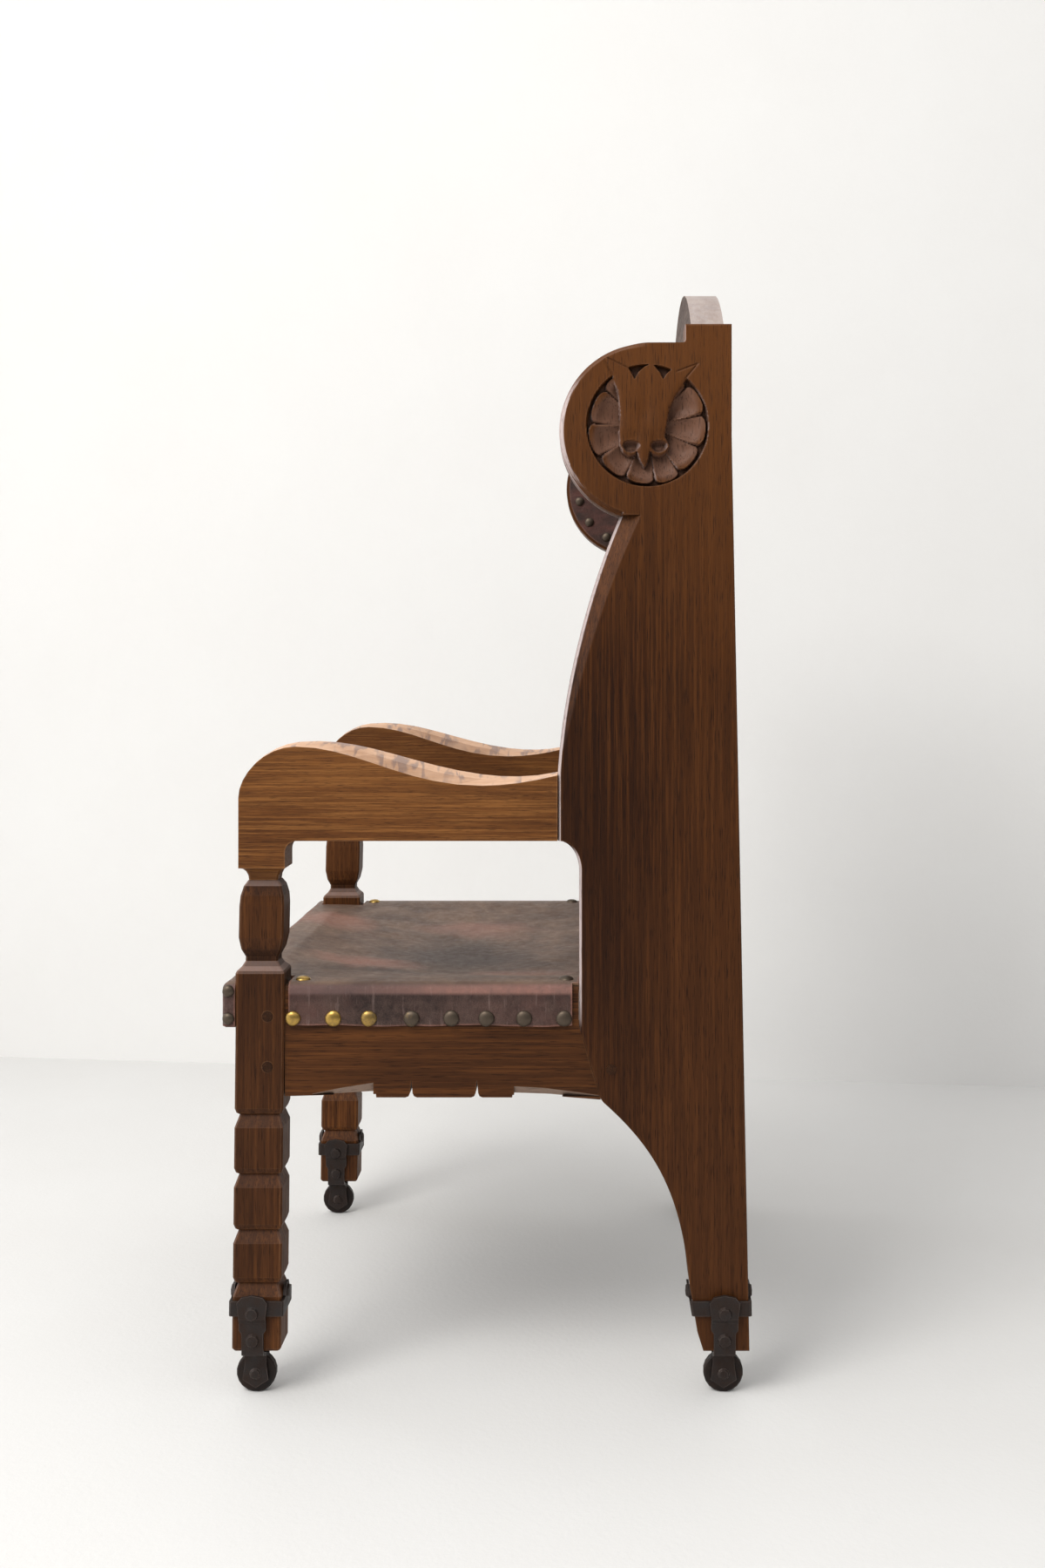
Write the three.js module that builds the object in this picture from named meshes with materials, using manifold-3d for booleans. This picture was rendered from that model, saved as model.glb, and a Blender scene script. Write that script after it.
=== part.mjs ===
// Carved oak throne armchair with leather seat, back and wings, on four small iron casters.
// Millimetres, +Z up. The chair faces -Y, its width runs along X, and the sitter's left is +X.
// Depths are measured backwards from the front face of the front legs, heights from the floor.
import * as THREE from 'three';
import { mergeVertices } from 'three/addons/utils/BufferGeometryUtils.js';
import Module from 'manifold-3d';

const wasm = await Module();
wasm.setup();

// Driving dimensions: the frame
const chair_width = 640;
const joint_gap = 0.3;
const seat_height = 478;
const arm_under_rise = 162.5;
const leg_thickness = 46;
const leg_depth = 56;
const leg_rake = 4;
const rake_top = 420;
const leg_arris = 2;
const groove_heights = [325, 256.4, 192, 131];
const groove_depth = 5;
const vase_belly_inset = 2.3;
const vase_neck_inset = 9.4;
const vase_top_inset = 10.3;
const vase_lean = 2.25;
const foot_height = 54.5;
const plinth_rise = 10;
const vase_shares = [0.943, 0.84, 0.726, 0.387, 0.255, 0.17, 0.123, 0.071, 0.028];
const panel_thickness = 45;
const panel_waist_depth = 395;
const panel_arm_depth = 370.5;
const panel_back_depth = 570.4;
const panel_foot_back_depth = 590.8;
const toe_rise = 22;
const ankle_rise = 77.5;
const ankle_run = 69;
const heel_curve = [60, 55];
const ankle_curve = [10, 108];
const toe_run = 60;
const sole_run = 53;
const panel_rake_height = 1106;
const stub_front_depth = 517;
const stub_cove = 3;
const stub_rise = 21.5;
const roundel_depth = 473.5;
const roundel_height = 1111.5;
const roundel_radius = 101.5;
const roundel_arris = 4;
const notch_angle = 252;
const bevel_length = 288;
const bevel_width = 24;
const bevel_slope = 0.75;

// Driving dimensions: the arms
const arm_thickness = 46;
const arm_front_depth = 3.5;
const arm_nose_rise = 49.5;
const arm_crest_depth = 69;
const arm_crest_rise = 108.5;
const arm_dip_depth = 283;
const arm_dip_rise = 63.5;
const arm_end_rise = 75.5;
const arm_crown = 14.5;
const arm_crown_least = 2.5;
const arm_crown_start = 40;
const arm_corner_drop = 34;
const drop_block_depth = 53.5;
const drop_block_drop = 31.5;
const drop_fillet = 13;
const neck_cove = 10;
const neck_drop = 15;

// Driving dimensions: the seat
const seat_sag = 24;
const seat_front_depth = -16;
const seat_rear_gap = 5.4;
const seat_leg_gap = 5;
const seat_panel_gap = 8;
const leather_thickness = 3.5;
const seat_edge_radius = 9;
const flap_drop = 50;
const flap_gap = 0.6;
const leather_proud = 0.1;
const side_rail_thickness = 28;
const side_rail_setback = 4;
const side_rail_drop = 133;
const rail_foot_run = 25;
const rail_foot_drop = 2.5;
const rail_arch_rise = 4;
const lobe_marks = [161, 201.8, 277.3, 318.4];
const lobe_notch_rise = 20.5;
const lobe_notch_half = 1.5;
const lobe_round = 5;
const front_scoop = [[88, 0.4], [120, 7], [158, 13]];
const rear_scoop = [[320, 11], [355, 9], [394, 4], [419, 0.4]];
const front_rail_back = 30;
const front_rail_drop = 52;
const rear_rail_thickness = 28;
const rear_rail_drop = 74;
const rear_rail_gap = 30.4;

// Driving dimensions: the back
const crest_thickness = 40;
const crest_rise = 98.5;
const crest_board_height = 273;
const crest_radius = 330;
const back_board_thickness = 14;
const back_rail_rise = 8;
const back_rail_height = 82;
const back_leather_lap = 14;
const back_leather_side_gap = 9;
const back_leather_edge = 7;
const back_leather_rise = 17;
const back_leather_margin = 78;
const back_leather_border = 0.07;
const wing_leather_thickness = 4;
const wing_leather_inset = 4;
const wing_leather_rise = 12;
const wing_leather_gap = 12.4;
const wing_stud_inset = 18;

// Driving dimensions: studs and pegs
const stud_radius = 9.4;
const stud_rise = 5.5;
const small_stud_radius = 7.4;
const small_stud_rise = 4.5;
const stud_drop = 41.5;
const side_stud_shares = [0, 0.1485, 0.28, 0.4373, 0.5839, 0.7132, 0.8524, 1];
const side_stud_ends = [5, 9.3];
const top_stud_ends = [13.7, 7];
const top_stud_inset = 20;
const end_stud_depth = -8;
const front_stud_count = 6;
const wing_stud_count = 12;
const back_stud_count = 8;
const peg_radius = 6;
const peg_length = 14;
const peg_proud = 0.8;
const leg_peg_depth = 37;
const upper_peg_drop = 39;
const lower_peg_rise = 36;
const panel_peg_run = 37;
const panel_peg_rise = 33;

// Driving dimensions: the carving on each roundel, in shares of its own radius
const rosette_radius = 69;
const rosette_lift = 6.5;
const rosette_depth = 14;
const petal_count = 11;
const petal_seam = 8;
const petal_scoop = 2.4;
const first_seam_angle = 11.8;
const head_outline = [
  [-0.62, 1.1], [-0.6, 0.82], [-0.5, 0.58], [-0.46, 0.32], [-0.45, 0.0], [-0.46, -0.34],
  [-0.36, -0.5], [-0.18, -0.46], [-0.06, -0.7], [0.05, -0.46], [0.2, -0.5], [0.3, -0.34],
  [0.32, 0.0], [0.37, 0.27], [0.47, 0.5], [0.64, 0.76], [0.7, 1.1],
];
const eye_places = [[-0.27, -0.34], [0.2, -0.34]];
const eye_share = 0.145;
const eye_depth = 7;
const eye_rise = 5;
const crown_cut_depth = 9;
const crown_cuts = [
  [[-0.27, 0.97], [-0.02, 0.97], [-0.2, 0.78]],
  [[0.08, 0.97], [0.36, 0.93], [0.24, 0.78]],
];

// Driving dimensions: the casters
const wheel_radius = 23;
const wheel_width = 11;
const axle_radius = 4;
const running_clearance = 0.08;
const wheel_sides = 20;
const axle_sides = 10;
const front_axle_lead = 3.5;
const rear_axle_gap = 28.8;
const cheek_clearance = 0.8;
const cheek_thickness = 3.6;
const band_height = 17;
const band_top = 113;
const band_thickness = 3;
const strap_thickness = 3.6;
const strap_head = 35;
const strap_width = 31;
const strap_top = 121;
const strap_neck = 25;
const strap_neck_height = 76;
const hub_radius = 16.5;
const rivet_radius = 7;
const rivet_rise = 2.5;
const bolt_radius = 9;
const bolt_rise = 3.5;
const bolt_sides = 10;
const strap_bolt_height = 100;
const strap_knob_height = 68;
const tab_bolt_height = 116;
const tab_width = 26;
const tab_top = 128;

// Sizes that follow from the ones above
const half_width = chair_width / 2;
const leg_inner = half_width - leg_thickness;
const panel_inner = half_width - panel_thickness;
const leg_centre_x = half_width - leg_thickness / 2;
const wing_top = roundel_height + roundel_radius;
const stub_height = wing_top + stub_rise;
const crest_height = stub_height + crest_rise;
const crest_foot = crest_height - crest_board_height;
const arm_under_height = seat_height + arm_under_rise;
const side_rail_foot = seat_height - side_rail_drop;
const arm_nose_height = arm_under_height + arm_nose_rise;
const arm_crest_height = arm_under_height + arm_crest_rise;
const arm_dip_height = arm_under_height + arm_dip_rise;
const arm_end_height = arm_under_height + arm_end_rise;
const drop_block_foot = arm_under_height - drop_block_drop;
const neck_height = drop_block_foot - neck_drop;
const plinth_height = seat_height + plinth_rise;
const panel_waist_height = seat_height - flap_drop;
const toe_bend = foot_height + toe_rise;
const ankle_height = foot_height + ankle_rise;
const rosette_height = roundel_height + rosette_lift;
const rail_top = seat_height - leather_thickness - joint_gap;
const back_face = panel_back_depth - crest_thickness;
const rail_end_depth = panel_waist_depth + rail_foot_run;
const leather_face = half_width - joint_gap + leather_proud;
const seat_rear_depth = back_face - seat_rear_gap;
const seat_side_start = leg_depth + seat_leg_gap;
const seat_side_end = panel_waist_depth - seat_panel_gap;
const front_rail_foot = seat_height - front_rail_drop;
const rear_rail_foot = seat_height - rear_rail_drop;
const rear_rail_depth = back_face - rear_rail_gap;
const back_rail_foot = seat_height + back_rail_rise;
const back_rail_top = back_rail_foot + back_rail_height;
const back_leather_foot = back_rail_foot + back_leather_lap;
const back_leather_half = panel_inner - back_leather_side_gap;
const wing_leather_foot = seat_height + wing_leather_rise;
const wing_leather_back = back_face - wing_leather_gap;
const stud_line_height = seat_height - stud_drop;
const side_stud_start = seat_side_start + side_stud_ends[0];
const side_stud_run = seat_side_end - side_stud_ends[1] - side_stud_start;
const side_stud_depths = side_stud_shares.map((share) => side_stud_start + share * side_stud_run);
const top_stud_depths = [seat_side_start + top_stud_ends[0], seat_side_end - top_stud_ends[1]];
const top_stud_x = half_width - top_stud_inset;
const leg_peg_heights = [seat_height - upper_peg_drop, side_rail_foot + lower_peg_rise];
const panel_peg = [panel_waist_depth + panel_peg_run, side_rail_foot + panel_peg_rise];
const front_axle_depth = leg_depth / 2 - leg_rake - front_axle_lead;
const rear_axle_depth = panel_foot_back_depth - rear_axle_gap;
const flap_foot = panel_waist_height - flap_gap;
const rail_face = half_width - side_rail_setback;
const rail_inner = rail_face - side_rail_thickness;
const degree = Math.PI / 180;

// Finishes
const oak_dark = { color: 0x54351f, roughness: 0.55, metalness: 0 };
const oak_light = { color: 0x7a4e2a, roughness: 0.5, metalness: 0 };
const hide = { color: 0x5f4c46, roughness: 0.6, metalness: 0 };
const iron = { color: 0x322a28, roughness: 0.6, metalness: 0.8 };
const peg_wood = { color: 0x33261c, roughness: 0.6, metalness: 0 };

const chair = new THREE.Group();

// Turns a closed geometry into a solid that can be joined and cut.
function solid_of(geometry) {
  const bare = geometry.index ? geometry.toNonIndexed() : geometry.clone();
  bare.deleteAttribute('normal');
  bare.deleteAttribute('uv');
  const merged = mergeVertices(bare, 1e-4);
  const vertProperties = new Float32Array(merged.attributes.position.array);
  const triVerts = new Uint32Array(merged.index.array);
  return new wasm.Manifold(new wasm.Mesh({ numProp: 3, vertProperties, triVerts }));
}

// Turns a solid back into a flat-shaded geometry.
function geometry_of(solid) {
  const mesh = solid.getMesh();
  const geometry = new THREE.BufferGeometry();
  geometry.setAttribute('position', new THREE.BufferAttribute(new Float32Array(mesh.vertProperties), 3));
  geometry.setIndex(new THREE.BufferAttribute(new Uint32Array(mesh.triVerts), 1));
  const flat = geometry.toNonIndexed();
  flat.computeVertexNormals();
  return flat;
}

// Joins several solids into one.
function joined(...geometries) {
  return geometries.map(solid_of).reduce((sum, next) => sum.add(next));
}

// A board across the chair: an outline of depths and heights carried from one x to another.
function board(outline, x_low, x_high) {
  const shape = new THREE.Shape(outline.map(([y, z]) => new THREE.Vector2(y, z)));
  const geometry = new THREE.ExtrudeGeometry(shape, { depth: x_high - x_low, bevelEnabled: false });
  const turn = new THREE.Matrix4().makeBasis(
    new THREE.Vector3(0, 1, 0), new THREE.Vector3(0, 0, 1), new THREE.Vector3(1, 0, 0));
  return geometry.applyMatrix4(turn).translate(x_low, 0, 0);
}

// A bar from front to back: an outline of x and height carried from one depth to another.
function bar(outline, y_low, y_high) {
  const shape = new THREE.Shape(outline.map(([x, z]) => new THREE.Vector2(x, z)));
  const geometry = new THREE.ExtrudeGeometry(shape, { depth: y_high - y_low, bevelEnabled: false });
  return geometry.rotateX(Math.PI / 2).translate(0, y_high, 0);
}

// A plain block between two corners.
function block(low, high) {
  const size = high.map((value, axis) => value - low[axis]);
  const geometry = new THREE.BoxGeometry(...size);
  return geometry.translate(...low.map((value, axis) => value + size[axis] / 2));
}

// A geometry from corners and triangles, turned so that its faces look outwards.
function skin(corners, index) {
  const geometry = new THREE.BufferGeometry().setFromPoints(corners);
  let volume = 0;
  for (let k = 0; k < index.length; k += 3) {
    const [a, b, c] = [corners[index[k]], corners[index[k + 1]], corners[index[k + 2]]];
    volume += a.dot(b.clone().cross(c));
  }
  geometry.setIndex(volume > 0 ? index : index.slice().reverse());
  return geometry;
}

// A closed skin through rings of as many points each, with a fan over both ends.
function loft(rings) {
  const count = rings[0].length;
  const index = [];
  for (let level = 0; level + 1 < rings.length; level += 1) {
    for (let k = 0; k < count; k += 1) {
      const a = level * count + k;
      const b = level * count + ((k + 1) % count);
      index.push(a, b, a + count, b, b + count, a + count);
    }
  }
  const last = (rings.length - 1) * count;
  for (let k = 2; k < count; k += 1) {
    index.push(0, k, k - 1);
    index.push(last, last + k - 1, last + k);
  }
  return skin(rings.flat(), index);
}

// A closed slab over a grid of two parameters, with an upper and a lower surface.
function slab(across, along, upper, lower) {
  const corners = [];
  const index = [];
  const row = along + 1;
  const layer = (across + 1) * row;
  [upper, lower].forEach((surface) => {
    for (let i = 0; i <= across; i += 1) {
      for (let j = 0; j <= along; j += 1) corners.push(surface(i / across, j / along));
    }
  });
  const quad = (a, b, c, d) => index.push(a, b, c, a, c, d);
  for (let i = 0; i < across; i += 1) {
    for (let j = 0; j < along; j += 1) {
      const a = i * row + j;
      quad(a, a + row, a + row + 1, a + 1);
      quad(layer + a, layer + a + 1, layer + a + row + 1, layer + a + row);
    }
    const far = i * row + along;
    quad(i * row, layer + i * row, layer + i * row + row, i * row + row);
    quad(far, far + row, layer + far + row, layer + far);
  }
  for (let j = 0; j < along; j += 1) {
    const end = across * row + j;
    quad(j, j + 1, layer + j + 1, layer + j);
    quad(end, layer + end, layer + end + 1, end + 1);
  }
  return skin(corners, index);
}

// A rectangle ring with cut corners at one height, for a leg or a neck.
function square_ring(centre_x, centre_y, half_x, half_y, cut, z) {
  const marks = [
    [half_x - cut, half_y], [cut - half_x, half_y], [-half_x, half_y - cut], [-half_x, cut - half_y],
    [cut - half_x, -half_y], [half_x - cut, -half_y], [half_x, cut - half_y], [half_x, half_y - cut],
  ];
  return marks.map(([x, y]) => new THREE.Vector3(centre_x + x, centre_y + y, z));
}

// A domed stud head whose foot sinks a little into what it is nailed to.
function stud(place, facing, radius, rise, sides) {
  const sink = 1;
  const profile = [[0, -sink], [radius, -sink], [radius * 0.72, rise * 0.78], [0, rise]];
  const points = profile.map(([r, h]) => new THREE.Vector2(r, h));
  const geometry = new THREE.LatheGeometry(points, sides);
  const turn = new THREE.Quaternion().setFromUnitVectors(new THREE.Vector3(0, 1, 0), facing);
  return geometry.applyQuaternion(turn).translate(place.x, place.y, place.z);
}

// The same geometry on the other side of the chair.
function mirrored(geometry) {
  const copy = geometry.index ? geometry.toNonIndexed() : geometry.clone();
  const place = copy.attributes.position;
  for (let k = 0; k < place.count; k += 3) {
    const corners = [0, 2, 1].map((n) => new THREE.Vector3().fromBufferAttribute(place, k + n));
    corners.forEach((corner, n) => place.setXYZ(k + n, -corner.x, corner.y, corner.z));
  }
  copy.computeVertexNormals();
  return copy;
}

// Adds one named piece to the chair.
function add_piece(name, geometry, finish) {
  const mesh = new THREE.Mesh(geometry, new THREE.MeshStandardMaterial(finish));
  mesh.name = name;
  chair.add(mesh);
}

// Adds a left piece and its right copy.
function add_pair(name, geometry, finish) {
  add_piece(`${name}_left`, geometry, finish);
  add_piece(`${name}_right`, mirrored(geometry), finish);
}

// The front edge of a wing, from the notch under the roundel down to the arm.
const notch_y = roundel_depth + roundel_radius * Math.cos(notch_angle * degree);
const notch_z = roundel_height + roundel_radius * Math.sin(notch_angle * degree);
const wing_edge = new THREE.CubicBezierCurve(
  new THREE.Vector2(notch_y + 3, notch_z + 1),
  new THREE.Vector2(notch_y - 42, notch_z - 98),
  new THREE.Vector2(panel_arm_depth + 4, arm_end_height + 86),
  new THREE.Vector2(panel_arm_depth, arm_end_height + 2));

// The outline of a side panel, from the heel up the back, over the roundel and down the front.
function panel_outline() {
  const path = new THREE.Path();
  path.moveTo(panel_foot_back_depth, foot_height);
  path.lineTo(panel_back_depth, panel_rake_height);
  path.lineTo(panel_back_depth, stub_height);
  path.lineTo(stub_front_depth, stub_height);
  path.lineTo(stub_front_depth, wing_top + stub_cove);
  path.lineTo(stub_front_depth - stub_cove * 0.3, wing_top + stub_cove * 0.3);
  path.lineTo(stub_front_depth - stub_cove, wing_top);
  path.lineTo(roundel_depth, wing_top);
  path.absarc(roundel_depth, roundel_height, roundel_radius, Math.PI / 2, notch_angle * degree, false);
  path.bezierCurveTo(wing_edge.v1.x, wing_edge.v1.y, wing_edge.v2.x, wing_edge.v2.y,
    wing_edge.v3.x, wing_edge.v3.y);
  path.lineTo(panel_arm_depth, arm_under_height);
  path.absellipse(panel_arm_depth, arm_under_height - arm_corner_drop,
    panel_waist_depth - panel_arm_depth, arm_corner_drop, Math.PI / 2, 0, true);
  path.lineTo(panel_waist_depth, panel_waist_height);
  const ankle_depth = panel_foot_back_depth - ankle_run;
  path.lineTo(rail_end_depth, side_rail_foot - rail_foot_drop);
  path.bezierCurveTo(rail_end_depth + heel_curve[0], side_rail_foot - heel_curve[1],
    ankle_depth - ankle_curve[0], ankle_height + ankle_curve[1], ankle_depth, ankle_height);
  path.lineTo(panel_foot_back_depth - toe_run, toe_bend);
  path.lineTo(panel_foot_back_depth - sole_run, foot_height);
  return path.getPoints(9).map((point) => [point.x, point.y]);
}

// The sunk rosette: rings of petals whose tips curl up at the rim and whose edges meet in sharp lines.
function rosette_cutter() {
  const face = half_width;
  const shares = [0, 0.5, 0.86, 1];
  const petal_steps = 3;
  const steps = petal_count * petal_steps;
  const sunk = (share, q) => {
    const bowl = rosette_depth * (0.25 + 0.75 * (1 - share ** 2) ** 0.8);
    const scoop = petal_scoop * Math.sin(Math.PI * share) * (1 - q * q);
    const seam = q > 0.99 ? petal_seam * share ** 3 : 0;
    return bowl + scoop + seam;
  };
  const upper = face + 3;
  const corners = [new THREE.Vector3(face - sunk(0, 0), roundel_depth, rosette_height)];
  const index = [];
  shares.slice(1).forEach((share) => {
    for (let k = 0; k < steps; k += 1) {
      const turn = (k / steps) * 2 * Math.PI + first_seam_angle * degree;
      const q = Math.abs(((k % petal_steps) / petal_steps) * 2 - 1);
      const radius = share * rosette_radius;
      const y = roundel_depth + radius * Math.cos(turn);
      const z = rosette_height + radius * Math.sin(turn);
      corners.push(new THREE.Vector3(face - sunk(share, q), y, z));
    }
  });
  const rings = shares.length - 1;
  for (let k = 0; k < steps; k += 1) {
    const next = (k + 1) % steps;
    index.push(0, 1 + next, 1 + k);
    for (let ring = 0; ring + 1 < rings; ring += 1) {
      const a = 1 + ring * steps;
      index.push(a + k, a + next, a + steps + next, a + k, a + steps + next, a + steps + k);
    }
  }
  const rim = 1 + (rings - 1) * steps;
  const lid = corners.length;
  for (let k = 0; k < steps; k += 1) {
    const edge = corners[rim + k];
    corners.push(new THREE.Vector3(upper, edge.y, edge.z));
  }
  corners.push(new THREE.Vector3(upper, roundel_depth, rosette_height));
  const top = corners.length - 1;
  for (let k = 0; k < steps; k += 1) {
    const next = (k + 1) % steps;
    index.push(rim + k, rim + next, lid + next, rim + k, lid + next, lid + k);
    index.push(lid + k, lid + next, top);
  }
  return skin(corners, index);
}

// A flat-faced prism on the outer face of the panel, from an outline in shares of the rosette.
function rosette_prism(shares, x_low, x_high) {
  const outline = shares.map(([u, v]) => [roundel_depth + u * rosette_radius,
    rosette_height + v * rosette_radius]);
  return board(outline, x_low, x_high);
}

// The long stopped bevel on the outer front edge of a wing.
function bevel_cutter() {
  const stations = 9;
  const margin = 6;
  const rings = [];
  for (let k = 0; k <= stations; k += 1) {
    const point = wing_edge.getPoint(k / stations);
    const left = Math.max(0, 1 - (wing_edge.v0.y - point.y) / bevel_length);
    const width = bevel_width * left ** 0.6;
    const face = half_width + 2;
    const lift = k === 0 ? 4 : 0;
    rings.push([
      new THREE.Vector3(face, point.x + width + 2 / bevel_slope, point.y - 2 * lift),
      new THREE.Vector3(face, point.x - margin, point.y),
      new THREE.Vector3(half_width - bevel_slope * (width + margin), point.x - margin, point.y),
    ]);
  }
  return loft(rings);
}

// The small chamfer round the free rim of the roundel.
function rim_cutter() {
  const spare = 4;
  const inner = roundel_radius - roundel_arris;
  const outer = roundel_radius + spare;
  const profile = [[inner - 1, 1], [outer, -roundel_arris - spare], [outer, 1], [inner - 1, 1]];
  const points = profile.map(([r, h]) => new THREE.Vector2(r, h));
  const ring = new THREE.LatheGeometry(points, 36).rotateZ(-Math.PI / 2);
  ring.translate(half_width, roundel_depth, roundel_height);
  const free = block([half_width - 20, roundel_depth - outer - spare, notch_z - 2],
    [half_width + 20, notch_y + 1, wing_top + spare]);
  return solid_of(ring).intersect(solid_of(free));
}

// A side panel: board, stopped bevel, rim chamfer and the rosette with the bird's head left standing.
function side_panel() {
  const body = solid_of(board(panel_outline(), panel_inner, half_width));
  const head = solid_of(rosette_prism(head_outline, half_width - 2 * rosette_depth, half_width + 10));
  const petals = solid_of(rosette_cutter()).subtract(head);
  let carved = body.subtract(solid_of(bevel_cutter())).subtract(rim_cutter()).subtract(petals);
  crown_cuts.forEach((cut) => {
    carved = carved.subtract(solid_of(rosette_prism(cut, half_width - crown_cut_depth, half_width + 5)));
  });
  eye_places.forEach(([u, v]) => {
    const radius = eye_share * rosette_radius;
    const place = new THREE.Vector3(half_width - eye_depth, roundel_depth + u * rosette_radius,
      rosette_height + v * rosette_radius);
    const length = 20;
    const socket = new THREE.CylinderGeometry(radius + 2, radius + 2, length, 10).rotateZ(Math.PI / 2);
    socket.translate(place.x + length / 2, place.y, place.z);
    carved = carved.subtract(solid_of(socket));
    carved = carved.add(solid_of(stud(place, new THREE.Vector3(1, 0, 0), radius, eye_rise, 8)));
  });
  return geometry_of(carved.subtract(solid_of(peg_hole(...panel_peg))));
}

// A rod across the outer face, with its length below the face and its rise above it.
function peg_rod(y, z, radius, length, rise) {
  const rod = new THREE.CylinderGeometry(radius, radius, length + rise, 10).rotateZ(Math.PI / 2);
  return rod.translate(half_width + (rise - length) / 2, y, z);
}

// The hole that a peg is driven into, from the outer face.
function peg_hole(y, z) {
  return peg_rod(y, z, peg_radius + joint_gap, peg_length + joint_gap, 2);
}

// Heights of the arm's edge over its length, worked out from three bends.
const nose_curve = new THREE.CubicBezierCurve(
  new THREE.Vector2(arm_front_depth, arm_nose_height),
  new THREE.Vector2(arm_front_depth, arm_nose_height + 26),
  new THREE.Vector2(arm_crest_depth - 36, arm_crest_height),
  new THREE.Vector2(arm_crest_depth, arm_crest_height));
const dip_curve = new THREE.CubicBezierCurve(
  new THREE.Vector2(arm_crest_depth, arm_crest_height),
  new THREE.Vector2(arm_crest_depth + 70, arm_crest_height),
  new THREE.Vector2(arm_dip_depth - 90, arm_dip_height),
  new THREE.Vector2(arm_dip_depth, arm_dip_height));
const arm_end_depth = panel_arm_depth - joint_gap;
const end_curve = new THREE.QuadraticBezierCurve(
  new THREE.Vector2(arm_dip_depth, arm_dip_height),
  new THREE.Vector2((arm_dip_depth + arm_end_depth) / 2 - 4, arm_dip_height),
  new THREE.Vector2(arm_end_depth, arm_end_height));

// How far the middle of the arm's top stands above its edges.
function crown_at(y) {
  const share = (y - arm_crown_start) / (arm_end_depth - arm_crown_start);
  const rise = Math.sin(Math.PI * Math.min(1, Math.max(0, share)));
  return arm_crown_least + arm_crown * rise ** 1.6;
}

// The crowned rail of an arm.
function arm_rail() {
  const x_low = half_width - arm_thickness;
  const middle = half_width - arm_thickness / 2;
  const stations = [
    ...nose_curve.getPoints(8).slice(0, -1),
    ...dip_curve.getPoints(9).slice(0, -1),
    ...end_curve.getPoints(4),
  ];
  const across = [-1, -0.62, 0, 0.62, 1];
  return loft(stations.map(({ x: y, y: z }) => [
    new THREE.Vector3(x_low, y, arm_under_height),
    ...across.map((s) => new THREE.Vector3(middle + (s * arm_thickness) / 2, y,
      z + crown_at(y) * (1 - s * s))),
    new THREE.Vector3(half_width, y, arm_under_height),
  ]));
}

// The square block that hangs under the front of an arm, with the fillet behind it.
function drop_block() {
  const block_back = arm_front_depth + drop_block_depth;
  const fillet_end = block_back + drop_fillet;
  const lap = 5;
  const path = new THREE.Path();
  path.moveTo(arm_front_depth, drop_block_foot);
  path.lineTo(block_back, drop_block_foot);
  path.lineTo(block_back, arm_under_height - drop_fillet);
  path.absarc(fillet_end, arm_under_height - drop_fillet, drop_fillet, Math.PI, Math.PI / 2, true);
  path.lineTo(fillet_end, arm_under_height + lap);
  path.lineTo(arm_front_depth, arm_under_height + lap);
  const outline = path.getPoints(4).map((point) => [point.x, point.y]);
  return board(outline, half_width - arm_thickness, half_width);
}

// The hollow cove on all four sides from the drop block down to the neck.
function arm_cove() {
  const foot = neck_height + joint_gap;
  const middle = half_width - arm_thickness / 2;
  const centre_y = arm_front_depth + drop_block_depth / 2;
  const ring = (inward, z) => square_ring(middle, centre_y, arm_thickness / 2 - inward,
    drop_block_depth / 2 - inward, leg_arris, z);
  const rings = [0, 22, 45, 68, 90].map((angle) => ring(
    0.3 + (neck_cove - 0.3) * Math.sin(angle * degree),
    drop_block_foot - (drop_block_foot - foot) * (1 - Math.cos(angle * degree))));
  return loft([ring(0.3, drop_block_foot + 5), ...rings]);
}

// An arm: crowned rail, square drop block with a filleted corner, and a cove down to the neck.
function arm() {
  return geometry_of(joined(arm_rail(), drop_block(), arm_cove()));
}

// Depth of the centre of a front leg at a height: it rakes forward at the foot and leans at the vase.
function leg_centre_at(z) {
  const below = Math.max(0, (rake_top - z) / (rake_top - foot_height));
  const above = Math.max(0, (z - plinth_height) / (neck_height - plinth_height));
  return leg_depth / 2 - leg_rake * below + vase_lean * above;
}

// Heights of a front leg from top to foot, each with how far its faces stand in from the full block.
function leg_profile() {
  const insets = [6.2, 3.2, vase_belly_inset, vase_belly_inset, 5, vase_neck_inset, vase_neck_inset,
    6.2, 1.4];
  const middle = vase_shares.map((share, k) => [
    plinth_height + share * (neck_height - plinth_height), insets[k]]);
  const vase = [[neck_height, vase_top_inset], ...middle, [plinth_height, 0], [rake_top, 0]];
  const grooves = groove_heights.flatMap((z) => [
    [z + 8, 0], [z + 2.5, groove_depth * 0.36], [z, groove_depth], [z - 14, 0],
  ]);
  return [...vase, ...grooves, [foot_height + 3, 0], [foot_height, leg_arris]];
}

// A front leg: vase and cove over a plinth, then square blocks parted by grooves.
function front_leg() {
  const rings = leg_profile().map(([z, inset]) => square_ring(leg_centre_x, leg_centre_at(z),
    leg_thickness / 2 - inset, leg_depth / 2 - inset, leg_arris, z));
  let body = solid_of(loft(rings));
  leg_peg_heights.forEach((z) => {
    body = body.subtract(solid_of(peg_hole(leg_peg_depth, z)));
  });
  return geometry_of(body);
}

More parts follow.
